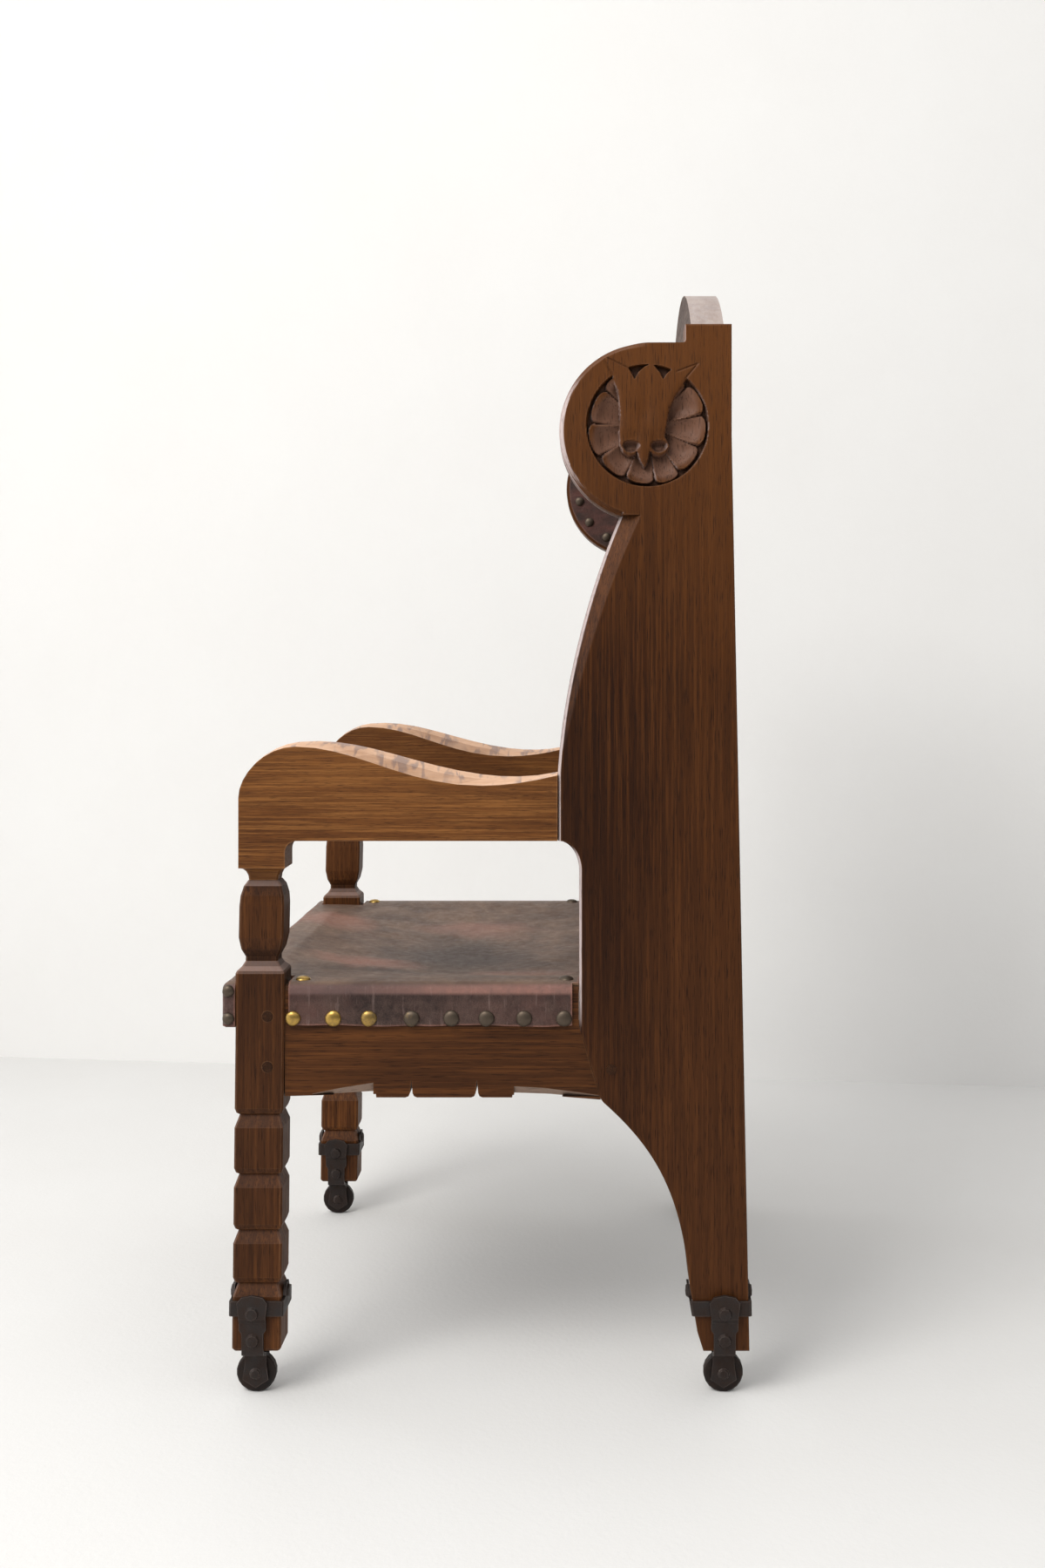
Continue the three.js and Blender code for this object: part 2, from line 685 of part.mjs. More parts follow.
// A block across the chair with its two upper ends and its upper front edge rounded.
function eased_block(half_x, y_low, y_high, z_low, z_high, round) {
  const marks = [0, 45, 90].map((angle) => angle * degree);
  const right = marks.map((a) => [half_x - round * (1 - Math.cos(a)), z_high - round * (1 - Math.sin(a))]);
  const left = right.map(([x, z]) => [-x, z]).reverse();
  const front = marks.map((a) => [y_low + round * (1 - Math.cos(a)), z_high - round * (1 - Math.sin(a))]);
  const ends = bar([[-half_x, z_low], [half_x, z_low], ...right, ...left], y_low, y_high);
  const side = board([[y_high, z_low], [y_low, z_low], ...front, [y_high, z_high]].reverse(),
    -half_x, half_x);
  return solid_of(ends).intersect(solid_of(side));
}

// The lower edge of a side rail, from the leg back to the panel: shallow arch, lobes, shallow arch.
function rail_lower_edge() {
  const foot = side_rail_foot;
  const last = lobe_marks.length - 2;
  const points = [[leg_depth + joint_gap, foot + 1.5], [149, foot + rail_arch_rise],
    [lobe_marks[0], foot + rail_arch_rise], [lobe_marks[0] + 0.5, foot]];
  lobe_marks.slice(0, -1).forEach((mark, k) => {
    const low = mark + lobe_notch_half;
    const high = lobe_marks[k + 1] - lobe_notch_half;
    const third = lobe_round * 0.3;
    if (k > 0) {
      points.push([mark, foot + lobe_notch_rise], [low, foot + lobe_round], [low + third, foot + third],
        [low + lobe_round, foot]);
    }
    if (k < last) {
      points.push([high - lobe_round, foot], [high - third, foot + third], [high, foot + lobe_round]);
    }
  });
  const end = lobe_marks[last + 1];
  points.push([end - 0.5, foot], [end, foot + 3], [363, foot + 2]);
  points.push([rail_end_depth - joint_gap, foot - rail_foot_drop]);
  return points;
}

// A scooped chamfer along the lower outer arris of a side rail, from depths and their widths.
function scoop_cutter(widths, face, foot) {
  return loft(widths.map(([y, width]) => [
    new THREE.Vector3(face + 1, y, foot - 1),
    new THREE.Vector3(face + 1, y, foot + width + 1),
    new THREE.Vector3(face - width - 1, y, foot - 1),
  ]));
}

// A side rail: lobed board with scooped ends and a rounded shoulder for the leather.
function side_rail() {
  const face = half_width - side_rail_setback;
  const inner = face - side_rail_thickness;
  const outline = [...rail_lower_edge(),
    [panel_waist_depth - joint_gap, panel_waist_height],
    [panel_waist_depth - joint_gap, rail_top], [leg_depth + joint_gap, rail_top]];
  const round = seat_edge_radius - leather_thickness - joint_gap;
  const shoulder = [0, 45, 90].map((angle) => [face - round * (1 - Math.cos(angle * degree)),
    rail_top - round * (1 - Math.sin(angle * degree))]);
  const waste = bar([[face + 2, rail_top - round], [face + 2, rail_top + 2], [face - round, rail_top + 2],
    ...shoulder.reverse()], 0, panel_back_depth);
  const lower = side_rail_foot + rail_arch_rise;
  return geometry_of(solid_of(board(outline, inner, face))
    .subtract(solid_of(waste))
    .subtract(solid_of(scoop_cutter(front_scoop, face, lower)))
    .subtract(solid_of(scoop_cutter(rear_scoop, face, lower - 2))));
}

// The front rail: a board across the fronts of the legs, thicker between them.
function front_rail() {
  const half_x = half_width - side_rail_setback;
  const front = seat_front_depth + leather_thickness + joint_gap;
  const round = seat_edge_radius - leather_thickness - joint_gap;
  const across = eased_block(half_x, front, -joint_gap, front_rail_foot, rail_top, round);
  const between = block([joint_gap - leg_inner, -1, front_rail_foot],
    [leg_inner - joint_gap, front_rail_back, rail_top]);
  return geometry_of(across.add(solid_of(between)));
}

// The rear rail under the back edge of the seat leather.
function rear_rail() {
  const half_x = panel_inner - joint_gap;
  return block([-half_x, rear_rail_depth, rear_rail_foot],
    [half_x, rear_rail_depth + rear_rail_thickness, rail_top]);
}

// How far the seat leather hangs below its edges.
function sag_at(x, y) {
  const across = Math.max(0, 1 - Math.abs(x / rail_inner) ** 2.2);
  const share = (y - front_rail_back) / (rear_rail_depth - front_rail_back);
  const along = Math.sin(Math.PI * Math.min(1, Math.max(0, share))) ** 0.7;
  return seat_sag * across * along;
}

// Places across the seat sheet: down the flap, round the shoulder and over the sagging middle.
function sheet_line(inset) {
  const face = leather_face - inset;
  const round = seat_edge_radius - inset;
  const top = seat_height - inset;
  const shoulder = [0, 45, 90].map((angle) => [face - round * (1 - Math.cos(angle * degree)),
    top - round * (1 - Math.sin(angle * degree))]);
  const half = [[face, flap_foot], ...shoulder, [rail_inner, top]];
  const middle = [0.84, 0.5, 0].map((share) => [rail_inner * share, top]);
  const other = [...half, ...middle.slice(0, -1)].map(([x, z]) => [-x, z]).reverse();
  return [...half, ...middle, ...other];
}

// The sagging sheet that wraps both side rails.
function seat_sheet() {
  const shares = [0, 0.085, 0.21, 0.38, 0.57, 0.745, 0.89, 1];
  const hanging = shares.map((share) => front_rail_back + share * (rear_rail_depth - front_rail_back));
  const depths = [-1, ...hanging, seat_rear_depth];
  const lines = [0, leather_thickness].map(sheet_line);
  const surface = (line) => (u, v) => {
    const [x, z] = line[Math.round(u * (line.length - 1))];
    const y = depths[Math.round(v * (depths.length - 1))];
    return new THREE.Vector3(x, y, z - sag_at(x, y));
  };
  return slab(lines[0].length - 1, depths.length - 1, surface(lines[0]), surface(lines[1]));
}

// The leather cap over the front rail, hollow below and behind.
function seat_front() {
  const lap = 4;
  const outer = eased_block(leather_face, seat_front_depth, lap, flap_foot, seat_height,
    seat_edge_radius);
  const inner = eased_block(leather_face - leather_thickness,
    seat_front_depth + leather_thickness, lap + 1, front_rail_foot - 10,
    seat_height - leather_thickness, seat_edge_radius - leather_thickness);
  return outer.subtract(inner);
}

// The studs of the seat leather on its left side, its left end and the left half of its front.
function seat_studs() {
  const face = leather_face;
  const out = new THREE.Vector3(1, 0, 0);
  const ahead = new THREE.Vector3(0, -1, 0);
  const up = new THREE.Vector3(0, 0, 1);
  const side = side_stud_depths.map((y) => stud(new THREE.Vector3(face, y, stud_line_height), out,
    y < seat_side_start + stud_radius ? small_stud_radius : stud_radius, stud_rise, 6));
  const top = top_stud_depths.map((y) => stud(new THREE.Vector3(top_stud_x, y, seat_height), up,
    stud_radius, stud_rise * 0.6, 6));
  const end = [seat_height - seat_edge_radius, stud_line_height].map((z) => stud(
    new THREE.Vector3(face, end_stud_depth, z), out, small_stud_radius, small_stud_rise, 6));
  const front = Array.from({ length: front_stud_count }, (_, k) => stud(
    new THREE.Vector3(((k + 0.5) * (half_width - 16)) / front_stud_count, seat_front_depth,
      stud_line_height), ahead, small_stud_radius, small_stud_rise, 6));
  return [...side, ...top, ...end, ...front];
}

// The seat leather: sheet and front cap in one, cut clear of the legs and panels, with its studs.
function seat_leather() {
  let leather = solid_of(seat_sheet()).add(seat_front());
  const far = half_width + 10;
  const deep = seat_height + 20;
  const low = front_rail_foot - 10;
  [1, -1].forEach((hand) => {
    const cut = (x_low, y_low, y_high) => {
      const sides = [hand * x_low, hand * far].sort((a, b) => a - b);
      leather = leather.subtract(solid_of(block([sides[0], y_low, low], [sides[1], y_high, deep])));
    };
    cut(leg_inner - joint_gap, -joint_gap, leg_depth + joint_gap);
    cut(rail_face - 1, 0, seat_side_start);
    cut(panel_inner - joint_gap, panel_waist_depth - joint_gap, seat_rear_depth + 10);
    cut(rail_face - 1, seat_side_end, panel_waist_depth);
  });
  seat_studs().forEach((head) => {
    leather = leather.add(solid_of(head)).add(solid_of(mirrored(head)));
  });
  return geometry_of(leather);
}

// Height of the arched top of the back at a place across the chair.
function arch_at(x, top) {
  return top - crest_radius + Math.sqrt(crest_radius ** 2 - x ** 2);
}

// The crest board: straight below and arched above.
function crest_board() {
  const half_x = panel_inner - joint_gap;
  const steps = 18;
  const arch = Array.from({ length: steps + 1 }, (_, k) => {
    const x = half_x * (1 - (2 * k) / steps);
    return [x, arch_at(x, crest_height)];
  });
  return bar([[-half_x, crest_foot], [half_x, crest_foot], ...arch], back_face, panel_back_depth);
}

// The plain board between the crest board and the back rail.
function back_board() {
  const half_x = panel_inner - joint_gap;
  return block([-half_x, back_face, back_rail_top + joint_gap],
    [half_x, back_face + back_board_thickness, crest_foot - joint_gap]);
}

// The rail across the foot of the back.
function back_rail() {
  const half_x = panel_inner - joint_gap;
  return block([-half_x, back_face, back_rail_foot], [half_x, panel_back_depth, back_rail_top]);
}

// A place on the stuffed front of the back leather: shares across and up, and the share of its fullness.
function back_place(u, v, full) {
  const x = back_leather_half * (2 * u - 1);
  const top = arch_at(x, crest_height - back_leather_margin);
  const z = back_leather_foot + v * (top - back_leather_foot);
  const inside = [u, v].map((share) => Math.min(1, Math.max(0,
    (share - back_leather_border) / (1 - 2 * back_leather_border))));
  const swell = (Math.sin(Math.PI * inside[0]) * Math.sin(Math.PI * inside[1])) ** 0.45;
  const depth = full * (back_leather_edge + back_leather_rise * Math.max(0, swell));
  return new THREE.Vector3(x, back_face - joint_gap - depth, z);
}

// The back leather: stuffed in the middle, flat at its studded border.
function back_leather() {
  const near = back_leather_border;
  const shares = [0, near, 0.15, 0.35, 0.65, 0.85, 1 - near, 1];
  const last = shares.length - 1;
  const surface = (full) => (u, v) => back_place(shares[Math.round(u * last)],
    shares[Math.round(v * last)], full);
  let leather = solid_of(slab(last, last, surface(1), surface(0)));
  const ahead = new THREE.Vector3(0, -1, 0);
  const border = back_leather_border / 2;
  const marks = Array.from({ length: back_stud_count }, (_, k) => k / (back_stud_count - 1));
  const places = marks.flatMap((share) => {
    const along = border + share * (1 - 2 * border);
    return [[along, 1 - border], [border, along], [1 - border, along]];
  });
  places.slice(0, -2).forEach(([u, v]) => {
    const head = stud(back_place(u, v, 1), ahead, small_stud_radius, small_stud_rise, 6);
    leather = leather.add(solid_of(head));
  });
  return geometry_of(leather);
}

// A line that runs down the free edge of a wing at a set distance inside it.
function wing_line(inset) {
  const radius = roundel_radius - inset;
  const round = Array.from({ length: 9 }, (_, k) => {
    const angle = (90 + ((notch_angle - 90) * k) / 8) * degree;
    return [roundel_depth + radius * Math.cos(angle), roundel_height + radius * Math.sin(angle)];
  });
  const edge = Array.from({ length: 7 }, (_, k) => {
    const point = wing_edge.getPoint((k + 1) / 7);
    return [point.x + inset, point.y];
  });
  return [...round, ...edge];
}

// The leather on the inner face of a wing, with the studs of its free edge.
function wing_leather() {
  const x_high = panel_inner - joint_gap;
  const x_low = x_high - wing_leather_thickness;
  const inset = wing_leather_inset;
  const outline = [[wing_leather_back, wing_leather_foot], [wing_leather_back, wing_top - inset],
    ...wing_line(inset), [panel_arm_depth + inset, arm_under_height],
    [panel_waist_depth + inset, arm_under_height - arm_corner_drop],
    [panel_waist_depth + inset, wing_leather_foot]];
  let leather = solid_of(board(outline, x_low, x_high));
  const line = new THREE.CatmullRomCurve3(
    wing_line(wing_stud_inset).map(([y, z]) => new THREE.Vector3(x_low, y, z)));
  const inward = new THREE.Vector3(-1, 0, 0);
  line.getSpacedPoints(wing_stud_count - 1).forEach((place) => {
    leather = leather.add(solid_of(stud(place, inward, small_stud_radius, small_stud_rise, 6)));
  });
  return geometry_of(leather);
}

// Front and rear faces of a foot at a height, for a front leg or for the foot of a side panel.
function leg_faces(z) {
  return [leg_centre_at(z) - leg_depth / 2, leg_centre_at(z) + leg_depth / 2];
}
function panel_faces(z) {
  const toe = panel_foot_back_depth - toe_run;
  const slope = (panel_foot_back_depth - panel_back_depth) / (panel_rake_height - foot_height);
  const rise = Math.max(0, (z - toe_bend) / (ankle_height - toe_bend));
  const front = toe - (ankle_run - toe_run) * rise;
  return [front, panel_foot_back_depth - (z - foot_height) * slope];
}

// A straight-sided collar round a foot between two heights, as far out as asked.
function collar(faces, thickness, out, cut, z_low, z_high) {
  return solid_of(loft([z_low, z_high].map((z) => {
    const [front, back] = faces(z);
    return square_ring(half_width - thickness / 2, (front + back) / 2, thickness / 2 + out,
      (back - front) / 2 + out, cut, z);
  })));
}

// The band of a caster: a collar with an arched tab in front and behind, and the bolts of the tabs.
function caster_band(faces, thickness) {
  const out = joint_gap + band_thickness;
  const middle = half_width - thickness / 2;
  const shell = collar(faces, thickness, out, leg_arris, band_top - band_height, tab_top)
    .subtract(collar(faces, thickness, joint_gap, joint_gap / 2, band_top - band_height - 2, tab_top + 2));
  const arch = [0, 60, 120, 180].map((angle) => [
    middle + (tab_width / 2) * Math.cos(angle * degree),
    tab_top - tab_width / 2 + (tab_width / 2) * Math.sin(angle * degree)]);
  const [front, back] = faces(tab_bolt_height);
  const low = band_top - band_height;
  const tabs = bar([[middle - tab_width / 2, low], [middle + tab_width / 2, low], ...arch],
    front - 2 * out, back + 2 * out);
  const ring = block([middle - thickness, front - 4 * out, low],
    [middle + thickness, back + 4 * out, band_top]);
  const bolts = [
    stud(new THREE.Vector3(middle, front - out + 0.5, tab_bolt_height), new THREE.Vector3(0, -1, 0),
      bolt_radius, bolt_rise, 6),
    stud(new THREE.Vector3(middle, back + out - 0.5, tab_bolt_height), new THREE.Vector3(0, 1, 0),
      bolt_radius, bolt_rise, 6),
  ];
  return geometry_of(shell.intersect(joined(tabs, ring)).add(joined(...bolts)));
}

// The side outline of a strap: arched head, straight sides, narrower neck and round hub.
function strap_outline(y) {
  const arc = (radius, from, to, z, squash) => Array.from({ length: 5 }, (_, k) => {
    const angle = (from + ((to - from) * k) / 4) * degree;
    return [y + radius * Math.cos(angle), z + squash * radius * Math.sin(angle)];
  });
  const meet = Math.sqrt(hub_radius ** 2 - (strap_neck / 2) ** 2);
  const low = (Math.asin(meet / hub_radius) / degree);
  return [
    ...arc(strap_head / 2, 0, 180, strap_top - strap_head / 4, 0.5),
    [y - strap_width / 2, band_top - band_height], [y - strap_width / 2, strap_neck_height + 4],
    [y - strap_neck / 2, strap_neck_height],
    ...arc(hub_radius, 180 - low, 360 + low, wheel_radius, 1),
    [y + strap_neck / 2, strap_neck_height], [y + strap_width / 2, strap_neck_height + 4],
    [y + strap_width / 2, band_top - band_height],
  ];
}

// The section of a strap across the chair: over the band, down the foot, in under it and past the wheel.
function strap_section(face, plane) {
  const over = face + 2 * joint_gap + band_thickness;
  const near = face + joint_gap;
  const cheek = plane + wheel_width / 2 + cheek_clearance;
  const band_foot = band_top - band_height;
  const t = strap_thickness;
  return [
    [over, strap_top + 1], [over, band_foot - 1], [near, band_foot - 7], [near, foot_height - joint_gap],
    [cheek, foot_height - 8], [cheek, 0], [cheek + cheek_thickness, 0],
    [cheek + cheek_thickness, foot_height - 11], [near + t, foot_height - 3],
    [near + t, band_foot - 8], [over + t, band_foot - 2], [over + t, strap_top + 1],
  ];
}

// A strap of a caster, on the outer side of its foot, with its bolt and its lower knob.
function caster_strap(y, face, plane) {
  const plate = solid_of(bar(strap_section(face, plane), y - strap_head, y + strap_head));
  const side = solid_of(board(strap_outline(y), plane, half_width + 20));
  const out = new THREE.Vector3(1, 0, 0);
  const near = face + joint_gap + strap_thickness;
  const bolt = stud(new THREE.Vector3(near + joint_gap + band_thickness, y, strap_bolt_height), out,
    bolt_radius, bolt_rise, bolt_sides);
  const knob = stud(new THREE.Vector3(near, y, strap_knob_height), out, bolt_radius, bolt_rise,
    bolt_sides);
  const hole = new THREE.CylinderGeometry(axle_radius + joint_gap, axle_radius + joint_gap, 40, 10)
    .rotateZ(Math.PI / 2).translate(plane, y, wheel_radius);
  return geometry_of(plate.intersect(side).add(joined(bolt, knob)).subtract(solid_of(hole)));
}

// The axle of a caster: a pin with a rivet head beyond each cheek.
function caster_axle(y, plane) {
  const reach = wheel_width / 2 + cheek_clearance + cheek_thickness + joint_gap;
  const half = [[axle_radius, reach], [rivet_radius, reach],
    [rivet_radius * 0.7, reach + rivet_rise * 0.8], [0, reach + rivet_rise]];
  const points = [...half.map(([r, h]) => [r, -h]).reverse(), ...half]
    .map(([r, h]) => new THREE.Vector2(r, h));
  return turned(points, axle_sides).translate(plane, y, wheel_radius);
}

// A lathe solid about an axis across the chair, with a flat below instead of a corner.
function turned(points, sides) {
  return new THREE.LatheGeometry(points, sides).rotateY(Math.PI / sides).rotateZ(-Math.PI / 2);
}

// A caster wheel: an iron disc with eased edges and a running bore.
function caster_wheel(y, plane) {
  const bore = axle_radius + running_clearance;
  const half = wheel_width / 2;
  const ease = 1.5;
  const profile = [[bore, -half], [wheel_radius - ease, -half], [wheel_radius, ease - half],
    [wheel_radius, half - ease], [wheel_radius - ease, half], [bore, half], [bore, -half]];
  const points = profile.map(([r, h]) => new THREE.Vector2(r, h));
  return turned(points, wheel_sides).translate(plane, y, wheel_radius);
}

// The five pieces of each caster, at a front leg or at the foot of a side panel.
function add_caster(place, y, faces, thickness) {
  const plane = half_width - thickness / 2;
  const inner_face = caster_strap(y, half_width, plane);
  const about = plane * 2;
  const inner = mirrored(inner_face).translate(about, 0, 0);
  add_pair(`${place}_band`, caster_band(faces, thickness), iron);
  add_pair(`${place}_strap_outer`, inner_face, iron);
  add_pair(`${place}_strap_inner`, inner, iron);
  add_pair(`${place}_axle`, caster_axle(y, plane), iron);
  add_pair(`${place}_wheel`, caster_wheel(y, plane), iron);
}

add_pair('side_panel', side_panel(), oak_dark);
add_piece('crest_board', crest_board(), oak_dark);
add_piece('back_board', back_board(), oak_dark);
add_piece('back_rail', back_rail(), oak_dark);
add_pair('arm', arm(), oak_light);
add_pair('front_leg', front_leg(), oak_dark);
add_pair('side_rail', side_rail(), oak_dark);
add_piece('front_rail', front_rail(), oak_dark);
add_piece('rear_rail', rear_rail(), oak_dark);
add_piece('seat_leather', seat_leather(), hide);
add_piece('back_leather', back_leather(), hide);
add_pair('wing_leather', wing_leather(), hide);
add_caster('front', front_axle_depth, leg_faces, leg_thickness);
add_caster('rear', rear_axle_depth, panel_faces, panel_thickness);
const peg_marks = [...leg_peg_heights.map((z) => [leg_peg_depth, z]), panel_peg];
['leg_peg_upper', 'leg_peg_lower', 'panel_peg'].forEach((name, k) => {
  add_pair(name, peg_rod(...peg_marks[k], peg_radius, peg_length, peg_proud), peg_wood);
});

// The origin goes to the middle of the footprint, on the floor.
const box = new THREE.Box3().setFromObject(chair);
const middle_y = (box.min.y + box.max.y) / 2;
chair.position.set(0, -middle_y, -box.min.z);

export default chair;
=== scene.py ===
"""Looks of the carved oak throne armchair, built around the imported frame, in metres.

Local places are measured as the chair is: x from the middle, y backwards from the front of the front
legs, z up from the floor. SHIFT carries a local place into the frame.
"""

import math

import bpy
import numpy as np
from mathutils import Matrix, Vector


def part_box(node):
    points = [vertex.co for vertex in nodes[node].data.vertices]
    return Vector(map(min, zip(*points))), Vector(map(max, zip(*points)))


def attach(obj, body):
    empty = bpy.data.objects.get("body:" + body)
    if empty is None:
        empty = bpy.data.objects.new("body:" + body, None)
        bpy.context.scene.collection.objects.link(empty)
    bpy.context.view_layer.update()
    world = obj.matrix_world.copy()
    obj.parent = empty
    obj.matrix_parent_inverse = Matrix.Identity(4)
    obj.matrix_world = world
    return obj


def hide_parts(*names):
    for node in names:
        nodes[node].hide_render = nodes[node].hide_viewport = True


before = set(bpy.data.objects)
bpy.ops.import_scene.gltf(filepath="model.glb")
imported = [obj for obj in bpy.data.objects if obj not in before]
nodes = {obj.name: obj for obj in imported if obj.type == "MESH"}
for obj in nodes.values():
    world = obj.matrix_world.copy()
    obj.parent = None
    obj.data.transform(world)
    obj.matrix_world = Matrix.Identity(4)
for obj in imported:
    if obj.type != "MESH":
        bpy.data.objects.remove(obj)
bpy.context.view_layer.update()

MM = 0.001
SIDES = {"left": 1.0, "right": -1.0}
HALF_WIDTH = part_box("side_panel_left")[1].x
PANEL_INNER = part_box("side_panel_left")[0].x
CREST_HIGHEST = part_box("crest_board")[1]
PANEL_BACK = 0.5704
CREST_TOP = 1.333
SHIFT = np.array([0.0, CREST_HIGHEST.y - PANEL_BACK, CREST_HIGHEST.z - CREST_TOP])
ROSETTE = (0.4735, 1.118)
VASE_MIDDLE = 0.549
SHARP_FROM = math.radians(38)


# Mesh helpers


def make_object(name, points, faces, material, shift=True, edge=None, edge_from=0):
    """A mesh object from local points and face arrays, smooth with sharp creases. Faces from edge_from on
    take the edge material, if there is one."""
    mesh = bpy.data.meshes.new(name)
    places = np.asarray(points, float) + (SHIFT if shift else 0.0)
    rows = [list(map(int, face)) for block in faces for face in block]
    mesh.from_pydata(places.tolist(), [], rows)
    mesh.update()
    mesh.polygons.foreach_set("use_smooth", np.ones(len(mesh.polygons), bool))
    mesh.set_sharp_from_angle(angle=SHARP_FROM)
    mesh.materials.append(material)
    if edge is not None:
        mesh.materials.append(edge)
        mesh.polygons.foreach_set("material_index", (np.arange(len(rows)) >= edge_from).astype(np.int32))
    thing = bpy.data.objects.new(name, mesh)
    bpy.context.scene.collection.objects.link(thing)
    return thing


def outward(points, faces):
    """The faces turned so that the closed surface has a positive volume."""
    volume = 0.0
    for block in faces:
        corners = np.asarray([face[:3] for face in block])
        a, b, c = (points[corners[:, k]] for k in range(3))
        volume += np.einsum("ij,ij->i", a, np.cross(b, c)).sum()
    if volume >= 0:
        return faces
    return [[list(face)[::-1] for face in block] for block in faces]


def grid_quads(rows, columns, start=0, wrap=False):
    """Quads over a grid of rows by columns, the columns joined round when wrap is set."""
    i = np.arange(rows - 1)[:, None]
    j = np.arange(columns if wrap else columns - 1)[None, :]
    k = (j + 1) % columns
    quads = np.stack(np.broadcast_arrays(i * columns + j, i * columns + k,
                                         (i + 1) * columns + k, (i + 1) * columns + j), -1)
    return quads.reshape(-1, 4) + start


def masked_slab(name, upper, lower, material, edge, mask=None, mirror=1.0):
    """A closed sheet: the cells of two grids, or those where mask is set, walled in the edge material."""
    rows, columns = upper.shape[:2]
    layer = rows * columns
    mask = np.ones((rows - 1, columns - 1), bool) if mask is None else mask
    points = np.concatenate([upper.reshape(-1, 3), lower.reshape(-1, 3)]) * [mirror, 1, 1]
    top = grid_quads(rows, columns).reshape(rows - 1, columns - 1, 4)
    inside = np.pad(mask, 1)
    walls = []
    for (di, dj), (p, q) in {(-1, 0): (0, 1), (0, 1): (1, 2), (1, 0): (2, 3), (0, -1): (3, 0)}.items():
        beside = inside[1 + di:rows + di, 1 + dj:columns + dj]
        free = top[mask & ~beside]
        walls.append(np.stack([free[:, q], free[:, p], free[:, p] + layer, free[:, q] + layer], -1))
    cells = top[mask]
    faces = [cells, cells[:, ::-1] + layer, *walls]
    used = np.zeros(len(points), bool)
    for block in faces:
        used[block] = True
    number = np.cumsum(used) - 1
    points = points[used]
    faces = [number[block] for block in faces]
    return make_object(name, points, outward(points, faces), material, edge=edge, edge_from=2 * len(cells))


def cell_areas(grid):
    """The area of each cell of a grid of points."""
    crossed = np.cross(grid[1:, 1:] - grid[:-1, :-1], grid[1:, :-1] - grid[:-1, 1:])
    return np.linalg.norm(crossed, axis=-1) / 2


def smooth_step(low, high, value):
    """0 below low, 1 above high and a smooth rise between them."""
    t = np.clip((value - low) / (high - low), 0, 1)
    return t * t * (3 - 2 * t)


def ripple(y, z, seed, length):
    """A gentle uneven surface between about -1 and 1: six sine waves of different headings."""
    rng = np.random.default_rng(seed)
    total = np.zeros_like(y)
    for _ in range(6):
        heading = rng.uniform(0, 2 * math.pi)
        size = length * rng.uniform(0.6, 1.7)
        total += np.sin((y * math.cos(heading) + z * math.sin(heading)) * 2 * math.pi / size
                        + rng.uniform(0, 2 * math.pi))
    return total / 3.2


# Node helpers. A socket knows its node tree, so most of them need no tree.


def feed(node, inputs):
    """Gives a node its inputs, each a value or a socket to link."""
    for key, value in inputs.items():
        socket = node.inputs[key]
        if isinstance(value, bpy.types.NodeSocket):
            node.id_data.links.new(value, socket)
        else:
            socket.default_value = (*value, 1.0)[:4] if socket.type == "RGBA" else value


def add_node(tree, kind, inputs=(), **settings):
    """A shader node with its settings and its inputs."""
    node = tree.nodes.new("ShaderNode" + kind)
    for key, value in settings.items():
        setattr(node, key, value)
    feed(node, dict(inputs))
    return node


def maths(operation, a, b=0.0, clamp=False):
    """The result of a math node whose first value is a socket."""
    return add_node(a.id_data, "Math", {0: a, 1: b}, operation=operation, use_clamp=clamp).outputs[0]


def times(value, *factors):
    """A socket's value multiplied by sockets or numbers."""
    for factor in factors:
        value = maths("MULTIPLY", value, factor)
    return value


def plus(a, b):
    """The sum of a socket's value and another value."""
    return maths("ADD", a, b)


def unsigned(value):
    """A value without its sign."""
    return maths("ABSOLUTE", value)


def vector_maths(operation, a, *others):
    """The vector that a vector math node gives, or its number for a length, a distance or a dot product."""
    node = add_node(a.id_data, "VectorMath", {0: a, **dict(enumerate(others, 1))}, operation=operation)
    return node.outputs["Value" if operation in ("LENGTH", "DISTANCE", "DOT_PRODUCT") else "Vector"]


def mix(factor, a, b):
    """The mix of two colours by a socket's value."""
    return add_node(factor.id_data, "Mix", {0: factor, 6: a, 7: b}, data_type="RGBA").outputs[2]


def map_range(value, low, high, to_low=0.0, to_high=1.0):
    """A value carried from one range into another and held inside it."""
    return add_node(value.id_data, "MapRange", {
        "Value": value, "From Min": low, "From Max": high, "To Min": to_low, "To Max": to_high,
    }).outputs[0]


def noise(vector, scale, detail=3.0, roughness=0.55, distortion=0.0, output="Fac"):
    """The factor, or the colour, of a noise texture."""
    return add_node(vector.id_data, "TexNoise", {
        "Vector": vector, "Scale": scale, "Detail": detail, "Roughness": roughness,
        "Distortion": distortion,
    }).outputs[output]


def cell_edges(vector, scale):
    """The distance to the nearest edge between irregular cells."""
    return add_node(vector.id_data, "TexVoronoi", {"Vector": vector, "Scale": scale},
                    feature="DISTANCE_TO_EDGE").outputs[0]


def stretched(vector, scale):
    """Coordinates scaled by three factors."""
    return add_node(vector.id_data, "Mapping", {"Vector": vector, "Scale": scale}).outputs[0]


def drawn_out(vector, share):
    """Coordinates that draw a texture out along Z."""
    return stretched(vector, (1.0, 1.0, share))


def axes(vector):
    """The x, y and z parts of a vector."""
    return add_node(vector.id_data, "SeparateXYZ", {0: vector}).outputs[:]


def facing(tree):
    """The x, y and z parts of the way a face looks."""
    return axes(add_node(tree, "NewGeometry").outputs["Normal"])


def shade(colour, share):
    """A colour made darker or lighter by one factor."""
    return tuple(share * part for part in colour)


